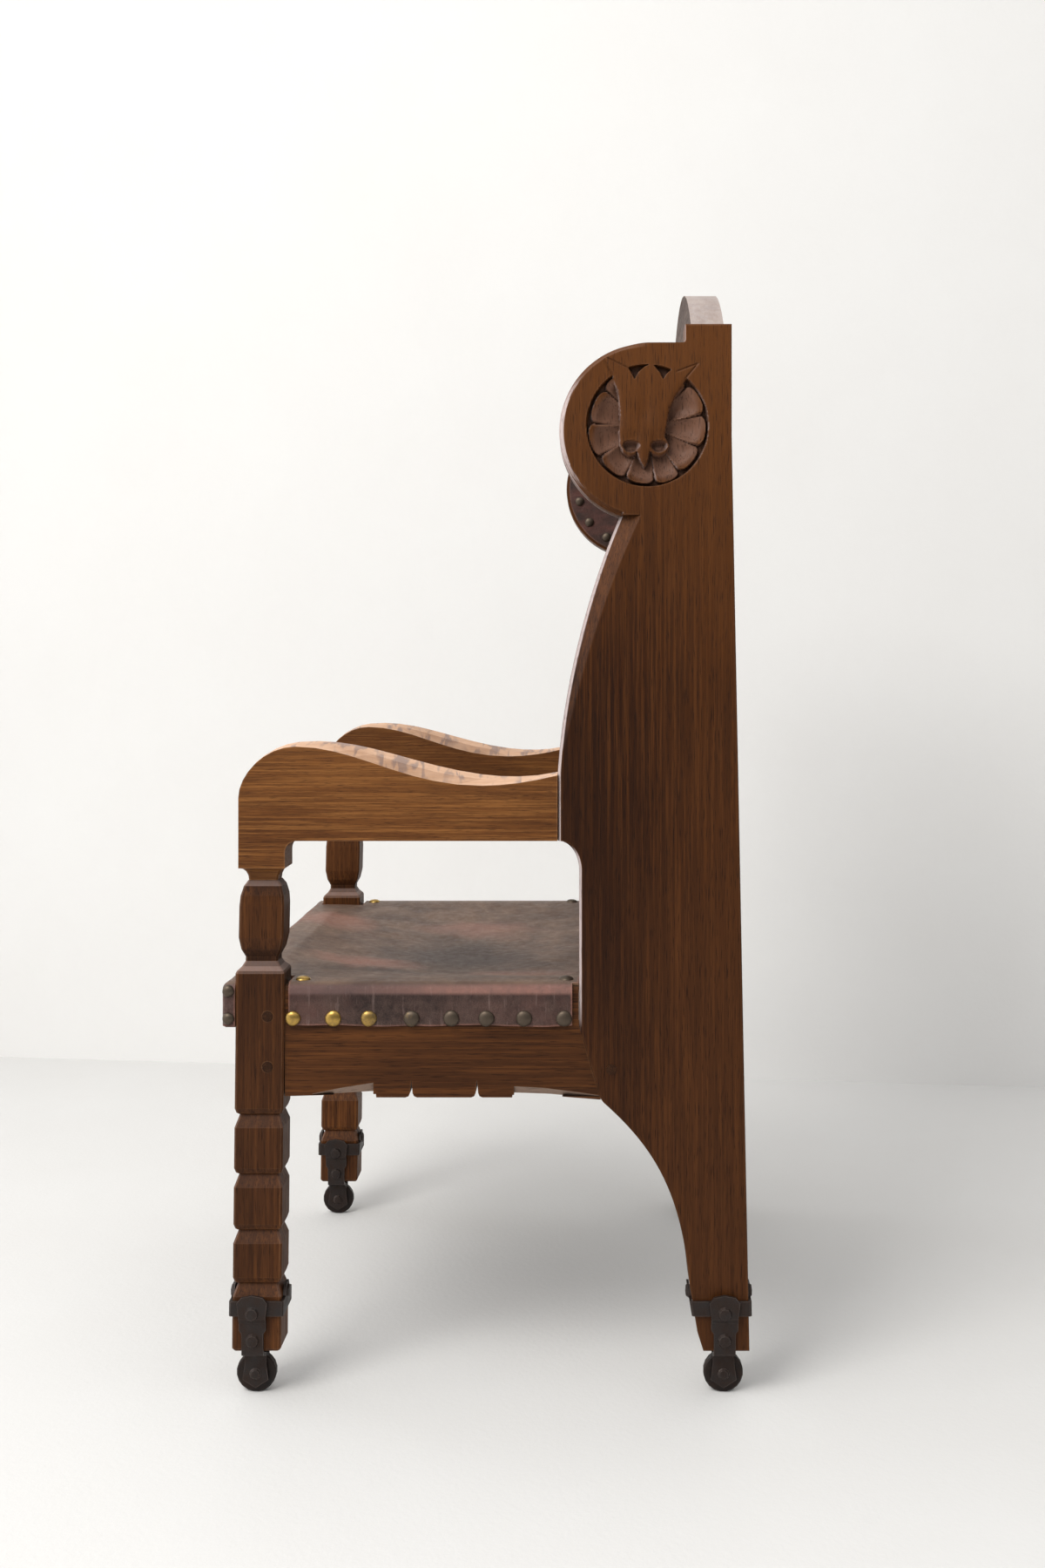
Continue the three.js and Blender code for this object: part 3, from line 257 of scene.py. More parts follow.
def new_group(name, number, value, outputs):
    """A node group that takes a vector and a named number and puts out named numbers.

    Returns the group, its two inputs as sockets and its output node.
    """
    group = bpy.data.node_groups.new(name, "ShaderNodeTree")
    group.interface.new_socket("Vector", in_out="INPUT", socket_type="NodeSocketVector")
    group.interface.new_socket(number, in_out="INPUT", socket_type="NodeSocketFloat").default_value = value
    for label in outputs:
        group.interface.new_socket(label, in_out="OUTPUT", socket_type="NodeSocketFloat")
    given = group.nodes.new("NodeGroupInput")
    return group, given.outputs[0], given.outputs[1], group.nodes.new("NodeGroupOutput")


def wood_grain_group():
    """Oak grain along Z: fine streaks, open pores, slow colour drift and a height for bump."""
    group, vector, fineness, result = new_group(
        "wood_grain", "Fineness", 1.0, ("Streak", "Pores", "Drift", "Height"))
    scaled = add_node(group, "VectorMath", {0: vector, 3: fineness}, operation="SCALE").outputs[0]
    broad = noise(drawn_out(scaled, 0.06), 130.0, 4.0, 0.66, 0.3)
    fine = noise(drawn_out(scaled, 0.03), 420.0, 3.0, 0.6)
    pores = map_range(noise(drawn_out(scaled, 0.055), 800.0, 2.0, 0.5), 0.56, 0.7)
    drift = noise(drawn_out(scaled, 0.3), 7.0, 3.0, 0.55, 0.6)
    both = plus(times(broad, 0.5), times(fine, 0.5))
    feed(result, {"Streak": map_range(both, 0.36, 0.64), "Pores": pores,
                  "Drift": map_range(drift, 0.3, 0.72),
                  "Height": maths("SUBTRACT", both, times(pores, 0.55))})
    return group


def wear_and_shade_group():
    """A mask that is 1 along worn outer edges, broken up by noise, and an ambient occlusion mask of the
    hollows for painted shade.
    """
    group, vector, width, result = new_group("wear_and_shade", "Width", 0.0025, ("Mask", "HollowShade"))
    rounded = add_node(group, "Bevel", {"Radius": width}, samples=4).outputs[0]
    turned = vector_maths("DOT_PRODUCT", rounded, add_node(group, "NewGeometry").outputs["Normal"])
    open_air = add_node(group, "AmbientOcclusion", {"Distance": 0.014}, samples=5,
                        only_local=True).outputs["AO"]
    broken = map_range(noise(vector, 60.0, 4.0, 0.6), 0.3, 0.62, 0.25, 1.0)
    worn = times(map_range(turned, 0.995, 0.9), broken, map_range(open_air, 0.75, 0.98))
    feed(result, {"Mask": worn, "HollowShade": map_range(open_air, 0.62, 0.15)})
    return group


def dust_group():
    """A mask for the dull dust that settles on faces which look up."""
    group, vector, amount, result = new_group("dust", "Amount", 0.3, ("Mask",))
    patchy = map_range(noise(vector, 25.0, 4.0, 0.6), 0.3, 0.7)
    feed(result, {"Mask": times(map_range(facing(group)[2], 0.25, 0.95), patchy, amount)})
    return group


GRAIN, WEAR_AND_SHADE, DUST = wood_grain_group(), wear_and_shade_group(), dust_group()


def use_group(group, **inputs):
    """The outputs of a node that uses a group."""
    return add_node(inputs["Vector"].id_data, "Group", inputs, node_tree=group).outputs


def new_material(name):
    """A material with its shader and the object coordinates."""
    material = bpy.data.materials.new(name)
    material.use_nodes = True
    tree = material.node_tree
    tree.nodes.clear()
    shader = add_node(tree, "BsdfPrincipled")
    add_node(tree, "OutputMaterial", {0: shader.outputs[0]})
    return material, shader, add_node(tree, "TexCoord").outputs["Object"]


def finish_shader(shader, colour, rough, height, strength, distance, **constants):
    """Gives a shader its colour, roughness and bump, and the numbers that are the same all over."""
    bump = add_node(shader.id_data, "Bump", {"Height": height, "Strength": strength, "Distance": distance})
    feed(shader, {"Base Color": colour, "Roughness": rough, "Normal": bump.outputs[0]})
    feed(shader, {label.replace("_", " "): value for label, value in constants.items()})


# Oak

OAK = ((0.018, 0.0058, 0.002), (0.056, 0.0185, 0.0052), (0.16, 0.056, 0.014))
LEG_OAK = (OAK[0], shade(OAK[1], 1.6), shade(OAK[2], 1.25))
PANEL_OAK = ((0.0125, 0.0034, 0.001), (0.031, 0.0089, 0.0021), (0.13, 0.044, 0.0105))
ARM_OAK = ((0.06, 0.0205, 0.006), (0.13, 0.0445, 0.0115), (0.29, 0.12, 0.033))
PEG_OAK = ((0.014, 0.005, 0.002), (0.036, 0.0125, 0.0042), (0.06, 0.023, 0.008))
# Pale tops of arms, crest and legs: a painted reflection of the overhead light, on the arms also rubbed wear.
ARM_TOP_WORN_AND_LIT = (0.66, 0.43, 0.295)
CREST_TOP_REFLECTION = (0.42, 0.36, 0.335)
LEG_TOP_REFLECTION = (0.22, 0.15, 0.13)
# Paler tone of the sunk petal faces: a painted sheen.
PETAL_SHEEN = (0.17, 0.094, 0.07)
# Pale tone of the forward-looking front chamfers and strips: a painted reflection of the bright room.
CHAMFER_REFLECTION = (0.52, 0.435, 0.425)
# Paler tone of the rail scoop's faces that lean out and down: painted light.
SCOOP_PAINTED_LIGHT = (0.33, 0.235, 0.18)
OAK_DUST = (0.3, 0.26, 0.23)


def panel_tones(place, colour, dark, light):
    """A panel's tones: paler with height and towards its rear, paler petals that are a painted sheen and pale
    front chamfers that are a painted reflection.
    """
    face_x, face_y, _ = facing(place.id_data)
    x, y, z = axes(place)
    flat = vector_maths("MULTIPLY", place, (0.0, 1.0, 1.0))
    reach = vector_maths("DISTANCE", flat, (0.0, ROSETTE[0] + SHIFT[1], ROSETTE[1] + SHIFT[2]))
    # Faces that look forward and a little out are mixed pale: a painted reflection on the front chamfers.
    chamfer = times(map_range(face_y, -0.62, -0.82), map_range(unsigned(face_x), 0.1, 0.45, 0.1, 0.85),
                    map_range(z, 0.42, 0.46), map_range(reach, 0.075, 0.08, 0.3, 1.0))
    colour = mix(map_range(z, 0.82, 1.2, 0.0, 0.6), colour, light)
    colour = mix(map_range(y, 0.15, 0.25, 0.0, 0.2), colour, light)
    # Sunk faces inside the rosette are mixed paler: a painted sheen on the petals.
    sunk = times(map_range(reach, 0.07, 0.066, 0.0, 0.5),
                 map_range(unsigned(x), HALF_WIDTH - 2 * MM, HALF_WIDTH - 4.5 * MM))
    return mix(chamfer, mix(sunk, colour, PETAL_SHEEN), CHAMFER_REFLECTION)


def vase_tones(place, colour, dark, light):
    """A front leg's vase: a little warmer in its middle, with painted shade at its necks."""
    off_middle = unsigned(maths("SUBTRACT", axes(place)[2], VASE_MIDDLE))
    colour = mix(map_range(off_middle, 0.034, 0.02, 0.0, 0.1), colour, light)
    # Painted shade in the recessed necks above and below the vase.
    off_neck = unsigned(maths("SUBTRACT", off_middle, 0.046))
    return mix(map_range(off_neck, 0.014, 0.004, 0.0, 0.6), colour, dark)


def scooped_tones(place, colour, dark, light):
    """The scooped lower edge of a side rail, with painted light that makes its faces that lean out and down
    paler.
    """
    x, _, z = facing(place.id_data)
    leaning = times(map_range(unsigned(x), 0.2, 0.45), map_range(z, -0.12, -0.35, 0.0, 0.75))
    return mix(leaning, colour, SCOOP_PAINTED_LIGHT)


def worn_and_lit_top(place, vector, streak, colour, light, top, across, fleck):
    """Faces that look up made pale, a painted reflection of the overhead light that on the arms is also
    rubbed wear, with grey flecks drawn out across the grain.
    """
    uneven = noise(drawn_out(vector, 0.25), 30.0, 4.0, 0.6)
    rubbed = times(map_range(facing(place.id_data)[2], 0.3, 0.8), map_range(uneven, 0.2, 0.55, 0.6, 1.0))
    ray = map_range(noise(stretched(place, across), 85.0, 2.0, 0.5, 0.4), 0.5, 0.6)
    sparse = map_range(noise(place, 17.0, 2.0, 0.5), 0.34, 0.5)
    pale = mix(times(ray, sparse, fleck), top, (0.42 * top[0], 0.52 * top[1], 0.72 * top[2]))
    return mix(rubbed, colour, mix(times(streak, 0.3), pale, light))


def oak(name, along, tones, worn=(0.2, 0.095, 0.045), wear=0.45, top=None, fleck=0.0, fineness=1.0,
        figure=0.75, piece_tones_and_light=None):
    """Waxed oak with grain along one axis, hollows darkened as painted shade, and worn edges.

    It can have a pale top with grey flecks, a painted reflection of the overhead light that on the arms is
    also rubbed wear, and the last argument adds what only one piece shows, painted light and shade among it.
    """
    dark, middle, light = tones
    material, shader, place = new_material(name)
    turn = {"x": (0.0, math.pi / 2, 0.0), "y": (math.pi / 2, 0.0, 0.0), "z": (0.0, 0.0, 0.0)}[along]
    vector = add_node(shader.id_data, "Mapping", {"Vector": place, "Rotation": turn}).outputs[0]
    grain = use_group(GRAIN, Vector=vector, Fineness=fineness)
    edges = use_group(WEAR_AND_SHADE, Vector=place)
    dust = use_group(DUST, Vector=place, Amount=0.06)
    colour = mix(grain["Streak"], dark, middle)
    lines = noise(drawn_out(vector, 0.018), 260.0 * fineness, 3.0, 0.7)
    colour = mix(map_range(lines, 0.46, 0.64, 0.0, figure), colour, light)
    colour = mix(times(grain["Drift"], 0.5), colour, tuple((a + b) / 2 for a, b in zip(middle, light)))
    stains = noise(drawn_out(vector, 0.22), 4.5, 4.0, 0.6, 0.8)
    colour = mix(map_range(stains, 0.42, 0.68, 0.0, 0.7), colour, dark)
    if piece_tones_and_light:
        colour = piece_tones_and_light(place, colour, dark, light)
    colour = mix(times(grain["Pores"], 0.6), colour, shade(dark, 0.35))
    colour = mix(times(edges["Mask"], wear), colour, worn)
    # Pale top: painted reflection of the overhead light, on the arms also rubbed wear.
    if top:
        across = (0.35, 1.0, 0.35) if along == "y" else (1.0, 0.35, 0.35)
        colour = worn_and_lit_top(place, vector, grain["Streak"], colour, light, top, across, fleck)
    # Painted shade: hollows darkened by ambient occlusion.
    colour = mix(times(edges["HollowShade"], 0.8), colour, shade(dark, 0.22))
    colour = mix(dust["Mask"], colour, OAK_DUST)
    rough = plus(map_range(grain["Streak"], 0.0, 1.0, 0.56, 0.42), times(grain["Pores"], 0.15))
    slow = noise(drawn_out(vector, 0.2), 22.0, 2.0)
    height = plus(times(grain["Height"], 0.5), times(slow, 0.8))
    finish_shader(shader, colour, rough, height, 0.5, 0.0008, Specular_IOR_Level=0.12)
    return material


# Leather

SEAT_TOP_DARK = (0.085, 0.051, 0.036)
SEAT_TOP_LIGHT = (0.172, 0.107, 0.072)
SEAT_RED = (0.36, 0.165, 0.122)
SEAT_MIDDLE = (0.042, 0.028, 0.023)
SEAT_SPOTS = (  # middle, radii, strength, colour
    ((0.02, -0.06, 0.455), (0.17, 0.12, 0.5), 0.85, SEAT_MIDDLE),
    ((0.125, -0.176, 0.46), (0.05, 0.09, 0.5), 0.6, SEAT_RED),
    ((-0.15, -0.252, 0.46), (0.08, 0.07, 0.5), 0.45, SEAT_RED),
    ((-0.14, -0.03, 0.46), (0.06, 0.1, 0.5), 0.4, SEAT_RED),
    ((0.2, 0.03, 0.46), (0.05, 0.08, 0.5), 0.3, SEAT_RED),
)
SEAT_SCRATCH = (0.24, 0.165, 0.145)
# Dark line under the seat's shoulder: a painted shadow.
SEAT_SHADE = (0.02, 0.009, 0.0085)
SEAT_SHADE_HEIGHT = 0.4605
# Shoulder tones: rubbed wear and a painted highlight on the rounded top edge.
SEAT_SHOULDER_FRONT_WORN_AND_LIT = (0.175, 0.108, 0.1)
SEAT_SHOULDER_REAR_WORN_AND_LIT = (0.5, 0.25, 0.2)
LEATHER_DUST = (0.28, 0.24, 0.22)


def spot(vector, centre, radii):
    """A soft round mask with a centre and three radii."""
    shares = stretched(vector_maths("SUBTRACT", vector, centre), tuple(1.0 / radius for radius in radii))
    return map_range(vector_maths("LENGTH", shares), 1.0, 0.3)


def seat_tones(place, colour, blotch, fine):
    """The seat's tones: a grey brown top with a dark middle and red rubs, a pink shoulder that is rubbed wear
    and a painted highlight, and a painted shadow line under the shoulder.
    """
    warp = vector_maths("ADD", noise(place, 9.0, 4.0, 0.5, output="Color"), (-0.5, -0.5, -0.5))
    warped = vector_maths("MULTIPLY_ADD", warp, (0.13, 0.13, 0.0), place)
    top = mix(blotch, SEAT_TOP_DARK, SEAT_TOP_LIGHT)
    top = mix(times(fine, 0.3), top, SEAT_TOP_DARK)
    for centre, radii, strength, tone in SEAT_SPOTS:
        top = mix(times(spot(warped, centre, radii), strength), top, tone)
    up = facing(place.id_data)[2]
    colour = mix(map_range(up, 0.55, 0.9), colour, top)
    x, _, z = axes(place)
    at_side = map_range(unsigned(x), 0.316, 0.3225)
    # A dark line just under the shoulder: a painted shadow.
    off_line = unsigned(maths("SUBTRACT", z, SEAT_SHADE_HEIGHT))
    shaded = times(at_side, map_range(off_line, 0.007, 0.002, 0.0, 0.8),
                   map_range(blotch, 0.0, 1.0, 1.0, 0.55))
    colour = mix(shaded, colour, SEAT_SHADE)
    scratch = noise(drawn_out(place, 0.16), 150.0, 3.0, 0.65)
    scratched = times(map_range(scratch, 0.56, 0.7, 0.0, 0.35), map_range(up, 0.8, 0.3))
    colour = mix(scratched, colour, SEAT_SCRATCH)
    # The pink shoulder: rubbed wear and a painted highlight.
    pink = mix(map_range(axes(warped)[1], -0.16, -0.04), SEAT_SHOULDER_FRONT_WORN_AND_LIT, SEAT_SHOULDER_REAR_WORN_AND_LIT)
    pink = mix(times(fine, 0.55), pink, SEAT_SHOULDER_FRONT_WORN_AND_LIT)
    return mix(times(at_side, map_range(z, 0.4625, 0.4665), 0.9), colour, pink)


def hide(name, dark, middle, light, red, edge, seat=False):
    """Old leather: creased grain, darker blotches, rubbed high places that along the top side edges are also
    a painted highlight, painted shade in hollows and a paler cut edge.
    """
    material, shader, place = new_material(name)
    creases = map_range(cell_edges(place, 520.0), 0.0, 0.12)
    swirled = vector_maths("ADD", place, noise(place, 28.0, 3.0, 0.5, output="Color"))
    folds = map_range(cell_edges(swirled, 34.0), 0.0, 0.06)
    blotch = map_range(noise(place, 13.0, 5.0, 0.65, 0.8), 0.38, 0.62)
    fine = map_range(noise(place, 90.0, 5.0, 0.7), 0.35, 0.65)
    wear = use_group(WEAR_AND_SHADE, Vector=place, Width=0.004)
    dust = use_group(DUST, Vector=place, Amount=0.12)
    colour = mix(times(fine, 0.4), mix(blotch, dark, middle), light)
    colour = mix(map_range(creases, 0.0, 1.0, 0.45, 0.0), colour, shade(dark, 0.4))
    colour = mix(map_range(folds, 0.0, 1.0, 0.35, 0.0), colour, shade(dark, 0.5))
    rubs = noise(stretched(place, (1.0, 0.4, 1.0)), 16.0, 6.0, 0.7, 1.2)
    x, _, z = axes(place)
    # Red rubs made stronger along the top side edges: rubbed wear and a painted highlight.
    edge_rub_and_highlight = times(map_range(unsigned(x), 0.2, 0.29), map_range(z, 0.46, 0.474))
    rubbed = times(map_range(rubs, 0.46, 0.68, 0.0, 0.8), map_range(edge_rub_and_highlight, 0.0, 1.0, 0.45, 1.3))
    colour = mix(maths("MINIMUM", rubbed, 0.9), colour, red)
    if seat:
        colour = seat_tones(place, colour, blotch, fine)
    colour = mix(times(wear["Mask"], 0.7), colour, edge)
    # Painted shade: hollows darkened by ambient occlusion.
    colour = mix(times(wear["HollowShade"], 0.6), colour, shade(dark, 0.3))
    colour = mix(dust["Mask"], colour, LEATHER_DUST)
    rough = map_range(fine, 0.0, 1.0, 0.4, 0.6)
    height = plus(times(creases, 0.25), plus(times(folds, 0.35), fine))
    finish_shader(shader, colour, rough, height, 0.55, 0.0009, Specular_IOR_Level=0.22)
    return material


# Metal

IRON_BLOOM = (0.03, 0.016, 0.011)
BRASS_BRIGHT = (0.43, 0.27, 0.066)
BRASS_DULL = (0.09, 0.068, 0.05)


def iron(name, base, light):
    """Dark forged iron: hammered unevenness, brown bloom and rubbed edges."""
    material, shader, place = new_material(name)
    wear = use_group(WEAR_AND_SHADE, Vector=place, Width=0.0015)
    bloom = map_range(noise(place, 70.0, 5.0, 0.65), 0.35, 0.68)
    colour = mix(times(wear["Mask"], 0.6), mix(bloom, base, IRON_BLOOM), light)
    rough = map_range(bloom, 0.0, 1.0, 0.42, 0.68)
    pits = plus(noise(place, 45.0, 3.0), times(noise(place, 380.0, 3.0), 0.3))
    finish_shader(shader, colour, rough, pits, 0.6, 0.0012, Metallic=0.55)
    return material


def brass():
    """Brass stud heads: bright where they are rubbed, near the seat's front, and dull elsewhere."""
    material, shader, place = new_material("brass_studs")
    along = plus(axes(place)[1], times(noise(place, 22.0, 2.0, 0.5), 0.06))
    dull = plus(map_range(along, -0.125, -0.05), map_range(along, -0.24, -0.255))
    tarnish = map_range(noise(place, 300.0, 4.0, 0.6), 0.4, 0.65, 0.0, 0.35)
    amount = maths("ADD", dull, tarnish, clamp=True)
    rough = map_range(amount, 0.0, 1.0, 0.3, 0.48)
    finish_shader(shader, mix(amount, BRASS_BRIGHT, BRASS_DULL), rough, noise(place, 160.0, 3.0),
                  0.3, 0.0006, Metallic=0.85)
    return material


oak_up = oak("oak_upright", "z", PANEL_OAK, figure=0.4, piece_tones_and_light=panel_tones)
oak_across = oak("oak_across", "x", OAK)
oak_back = oak("oak_lengthwise", "y", OAK, piece_tones_and_light=scooped_tones)
oak_arm = oak("oak_arm", "y", ARM_OAK, worn=(0.36, 0.19, 0.09), top=ARM_TOP_WORN_AND_LIT, fleck=0.85, fineness=1.7)
oak_crest = oak("oak_crest", "x", OAK, top=CREST_TOP_REFLECTION, fleck=0.1)
oak_leg = oak("oak_leg", "z", LEG_OAK, worn=(0.24, 0.12, 0.062), wear=0.5, top=LEG_TOP_REFLECTION, piece_tones_and_light=vase_tones)
oak_peg = oak("oak_peg", "x", PEG_OAK, wear=0.0)
seat_leather = hide("leather_seat", (0.024, 0.0125, 0.0105), (0.068, 0.036, 0.029), (0.17, 0.105, 0.085),
                    (0.13, 0.057, 0.046), (0.36, 0.155, 0.11), seat=True)
back_leather = hide("leather_back", (0.02, 0.01, 0.0085), (0.052, 0.026, 0.021), (0.088, 0.048, 0.038),
                    (0.12, 0.045, 0.035), (0.26, 0.125, 0.09))
cut_edge = hide("leather_cut_edge", (0.16, 0.085, 0.045), (0.24, 0.135, 0.075), (0.32, 0.19, 0.11),
                (0.2, 0.09, 0.05), (0.4, 0.25, 0.15))
iron_dark = iron("iron_strapwork", (0.022, 0.0165, 0.015), (0.16, 0.125, 0.11))
iron_wheel = iron("iron_wheel", (0.0085, 0.0065, 0.006), (0.06, 0.047, 0.043))
brass_studs = brass()


# CAD pieces that stay: softened edges and their materials


def soften(node, material, width, segments=2):
    """Rounds the sharp edges of a kept piece and gives it its material."""
    thing = nodes[node]
    thing.data.polygons.foreach_set("use_smooth", np.ones(len(thing.data.polygons), bool))
    flat = thing.modifiers.new("join_flat_faces", "DECIMATE")
    flat.decimate_type = "DISSOLVE"
    flat.angle_limit = math.radians(0.6)
    bevel = thing.modifiers.new("round_edges", "BEVEL")
    bevel.width = width
    bevel.segments = segments
    bevel.limit_method = "ANGLE"
    bevel.angle_limit = math.radians(28)
    bevel.harden_normals = True
    bevel.use_clamp_overlap = True
    thing.data.materials.clear()
    thing.data.materials.append(material)


for side in SIDES:
    soften(f"arm_{side}", oak_arm, 2.2 * MM, 3)
    soften(f"front_leg_{side}", oak_leg, 2.0 * MM, 3)
    soften(f"side_rail_{side}", oak_back, 1.5 * MM)
    for end in ("front", "rear"):
        for piece in ("band", "strap_outer", "strap_inner", "axle"):
            soften(f"{end}_{piece}_{side}", iron_dark, 0.7 * MM)
        soften(f"{end}_wheel_{side}", iron_wheel, 0.6 * MM)
    for peg in ("leg_peg_upper", "leg_peg_lower", "panel_peg"):
        soften(f"{peg}_{side}", oak_peg, 0.5 * MM)
for board, wood, width in (("crest_board", oak_crest, 2.0), ("back_board", oak_up, 1.0),
                           ("back_rail", oak_across, 2.0), ("front_rail", oak_across, 1.5),
                           ("rear_rail", oak_across, 1.5)):
    soften(board, wood, width * MM)


# Side panels: a board whose outer face is a relief over depth and height

ROUNDEL = (0.4735, 1.1115)
ROUNDEL_RADIUS = 0.1015
ROSETTE_RADIUS = 0.0695
NOTCH_ANGLE = 252.0
NOTCH = tuple(middle + ROUNDEL_RADIUS * part for middle, part in zip(
    ROUNDEL, (math.cos(math.radians(NOTCH_ANGLE)), math.sin(math.radians(NOTCH_ANGLE)))))
BEVEL_LENGTH = 0.288
BEVEL_WIDTH = 0.024
BEVEL_SLOPE = 0.75
RIM_WIDTH = 5.0 * MM
STRIP_WIDTH = 3.2 * MM
EASE = 1.6 * MM
PETAL_FLOOR = 9.5
WING_TOP = ROUNDEL[1] + ROUNDEL_RADIUS
FOOT = 0.0545
TOE_TOP = 0.0765
ARM_LEVEL = 0.6065
STUB_FRONT = 0.517
STUB_TOP = 1.2345
FOOT_BACK = 0.5908
PANEL_COLUMNS = 185
RAKE_TOP = 1.106
PETAL_SEAMS = (-22.0, 11.8, 45.6, 77.0, 108.0, 140.0, 178.0, 213.5, 247.0, 278.0, 304.6)
HEAD = np.array([
    (-47, 86), (-40, 56), (-34, 39), (-32, 23), (-31, 7), (-32, -10), (-32, -21), (-28, -31), (-21, -35.5),
    (-13.5, -33), (-12.5, -29), (-8.5, -40), (-3.3, -48.6), (0.6, -40), (2.7, -29), (6, -33), (14, -35.5),
    (22, -31), (25.5, -23), (20, -12), (22, 1), (25, 18), (32, 34), (44, 52), (62, 80),
]) * MM
CROWN_CUTS = [np.array(cut) * MM for cut in (
    [(-22, 67.5), (-11, 69.5), (1, 69.5), (-3, 68), (-10, 62), (-14.5, 54)],
    [(8, 69), (18, 67.5), (27, 64), (22, 59.5), (18.5, 54), (14, 62)],
)]
EYES = [(-19 * MM, -23.5 * MM), (13.5 * MM, -23.5 * MM)]
EAR_LINES = [np.array(line) * MM for line in (
    ((-39, 56), (-50, 77)), ((-20, 65), (-47, 78)), ((44, 54), (58, 71)), ((34, 62), (58, 71)),
)]


def bezier(p0, p1, p2, p3, count):
    """Points along a cubic bend."""
    t = np.linspace(0, 1, count)[:, None]
    p0, p1, p2, p3 = (np.array(p, float) for p in (p0, p1, p2, p3))
    return (1 - t) ** 3 * p0 + 3 * t * (1 - t) ** 2 * p1 + 3 * t * t * (1 - t) * p2 + t ** 3 * p3


def front_edge_line():
    """The panel's front edge as points (y, z), from the toe up to the top of the roundel."""
    leg = bezier((0.5218, 0.132), (0.5118, 0.24), (0.48, 0.29), (0.42, 0.3425), 40)
    corner = np.radians(np.linspace(0, 90, 14))
    inside = np.stack([0.3705 + 0.0245 * np.cos(corner), ARM_LEVEL + 0.034 * np.sin(corner)], -1)
    wing = bezier((0.3705, 0.718), (0.3745, 0.802), (NOTCH[0] - 0.042, NOTCH[1] - 0.098), NOTCH, 60)
    turn = np.radians(np.linspace(NOTCH_ANGLE, 90, 190))
    round_edge = np.array(ROUNDEL) + ROUNDEL_RADIUS * np.stack([np.cos(turn), np.sin(turn)], -1)
    toe, knee = [(0.5378, FOOT), (0.5308, TOE_TOP)], [(0.395, 0.428)]
    return np.concatenate([toe, leg, knee, inside, wing, round_edge])


def distance_to_line(u, v, start, end):
    """Distance of points to a stretch between two points."""
    (ax, ay), (bx, by) = start, end
    dx, dy = bx - ax, by - ay
    share = np.clip(((u - ax) * dx + (v - ay) * dy) / (dx * dx + dy * dy), 0, 1)
    return np.hypot(u - ax - share * dx, v - ay - share * dy)


def inside_by(u, v, outline):
    """Signed distance to a closed outline: positive inside it and negative outside."""
    away = np.full(u.shape, 9.0)
    inside = np.zeros(u.shape, bool)
    for (ax, ay), (bx, by) in zip(outline, np.roll(outline, -1, axis=0)):
        away = np.minimum(away, distance_to_line(u, v, (ax, ay), (bx, by)))
        crosses = (ay > v) != (by > v)
        with np.errstate(divide="ignore", invalid="ignore"):
            inside ^= crosses & (u < (bx - ax) * (v - ay) / (by - ay) + ax)
    return np.where(inside, away, -away)


def petal_depth(radius, angle):
    """Depth of the petals: a bowl, a scoop in each petal, sharp seams and tips that curl up at the rim."""
    seams = np.array([*PETAL_SEAMS, PETAL_SEAMS[0] + 360.0])
    turn = (np.degrees(angle) - seams[0]) % 360.0 + seams[0]
    which = np.clip(np.searchsorted(seams, turn, side="right") - 1, 0, len(seams) - 2)
    low, high = seams[which], seams[which + 1]
    q = (turn - (low + high) / 2) / ((high - low) / 2)
    turned_in = 1 + 0.02 * np.sin(which * 2.3)
    tip = ROSETTE_RADIUS * (0.975 - 0.085 * np.abs(q) ** 4) * turned_in
    s = radius / tip
    bowl = 12.5 * np.clip(1 - s, 0, 1) ** 0.8 + 2.2
    scoop = 4.4 * (1 - q * q) * np.sin(math.pi * np.clip(s, 0, 1) ** 1.7)
    lean = 1.9 * q * np.clip(s, 0, 1)
    seam = 4.5 * np.exp(-(((1 - np.abs(q)) / 0.09) ** 2)) * np.clip(s, 0, 1) ** 3
    curl = 2.4 * np.exp(-(((s - 0.9) / 0.07) ** 2)) * (1 - q * q)
    petal = bowl + scoop + seam + lean - curl
    return (petal + (PETAL_FLOOR - petal) * smooth_step(0.985, 1.02, s)) * MM


def head_depth(u, v, within):
    """Depth of the bird's head: nearly flush, eased at its outline, hollow round the eyes."""
    depth = 1.6 * MM * np.exp(-np.maximum(within, 0) / (1.6 * MM))
    depth += 1.1 * MM * np.exp(-((u + 4 * MM) / (9 * MM)) ** 2) * smooth_step(20 * MM, 0, np.abs(v - 15 * MM))
    brow = smooth_step(-2 * MM, -16 * MM, v)
    depth += brow * 1.5 * MM * smooth_step(4 * MM, 12 * MM, np.abs(u + 3 * MM))
    for eu, ev in EYES:
        reach = np.hypot(u - eu, (v - ev) * 1.15)
        under = smooth_step(1 * MM, -4 * MM, v - ev)
        socket = 9.5 * MM * smooth_step(11.5 * MM, 6.0 * MM, reach) * smooth_step(9 * MM, 1 * MM, v - ev)
        ball = 2.2 * MM * np.sqrt(np.clip(1 - (reach / (7.0 * MM)) ** 2, 0, None)) * under
        lid = 2.4 * MM * np.exp(-(((reach - 8.6 * MM) / (1.3 * MM)) ** 2)) * under
        depth = np.maximum(depth, socket - ball) - lid
    return np.maximum(depth, 0.0)


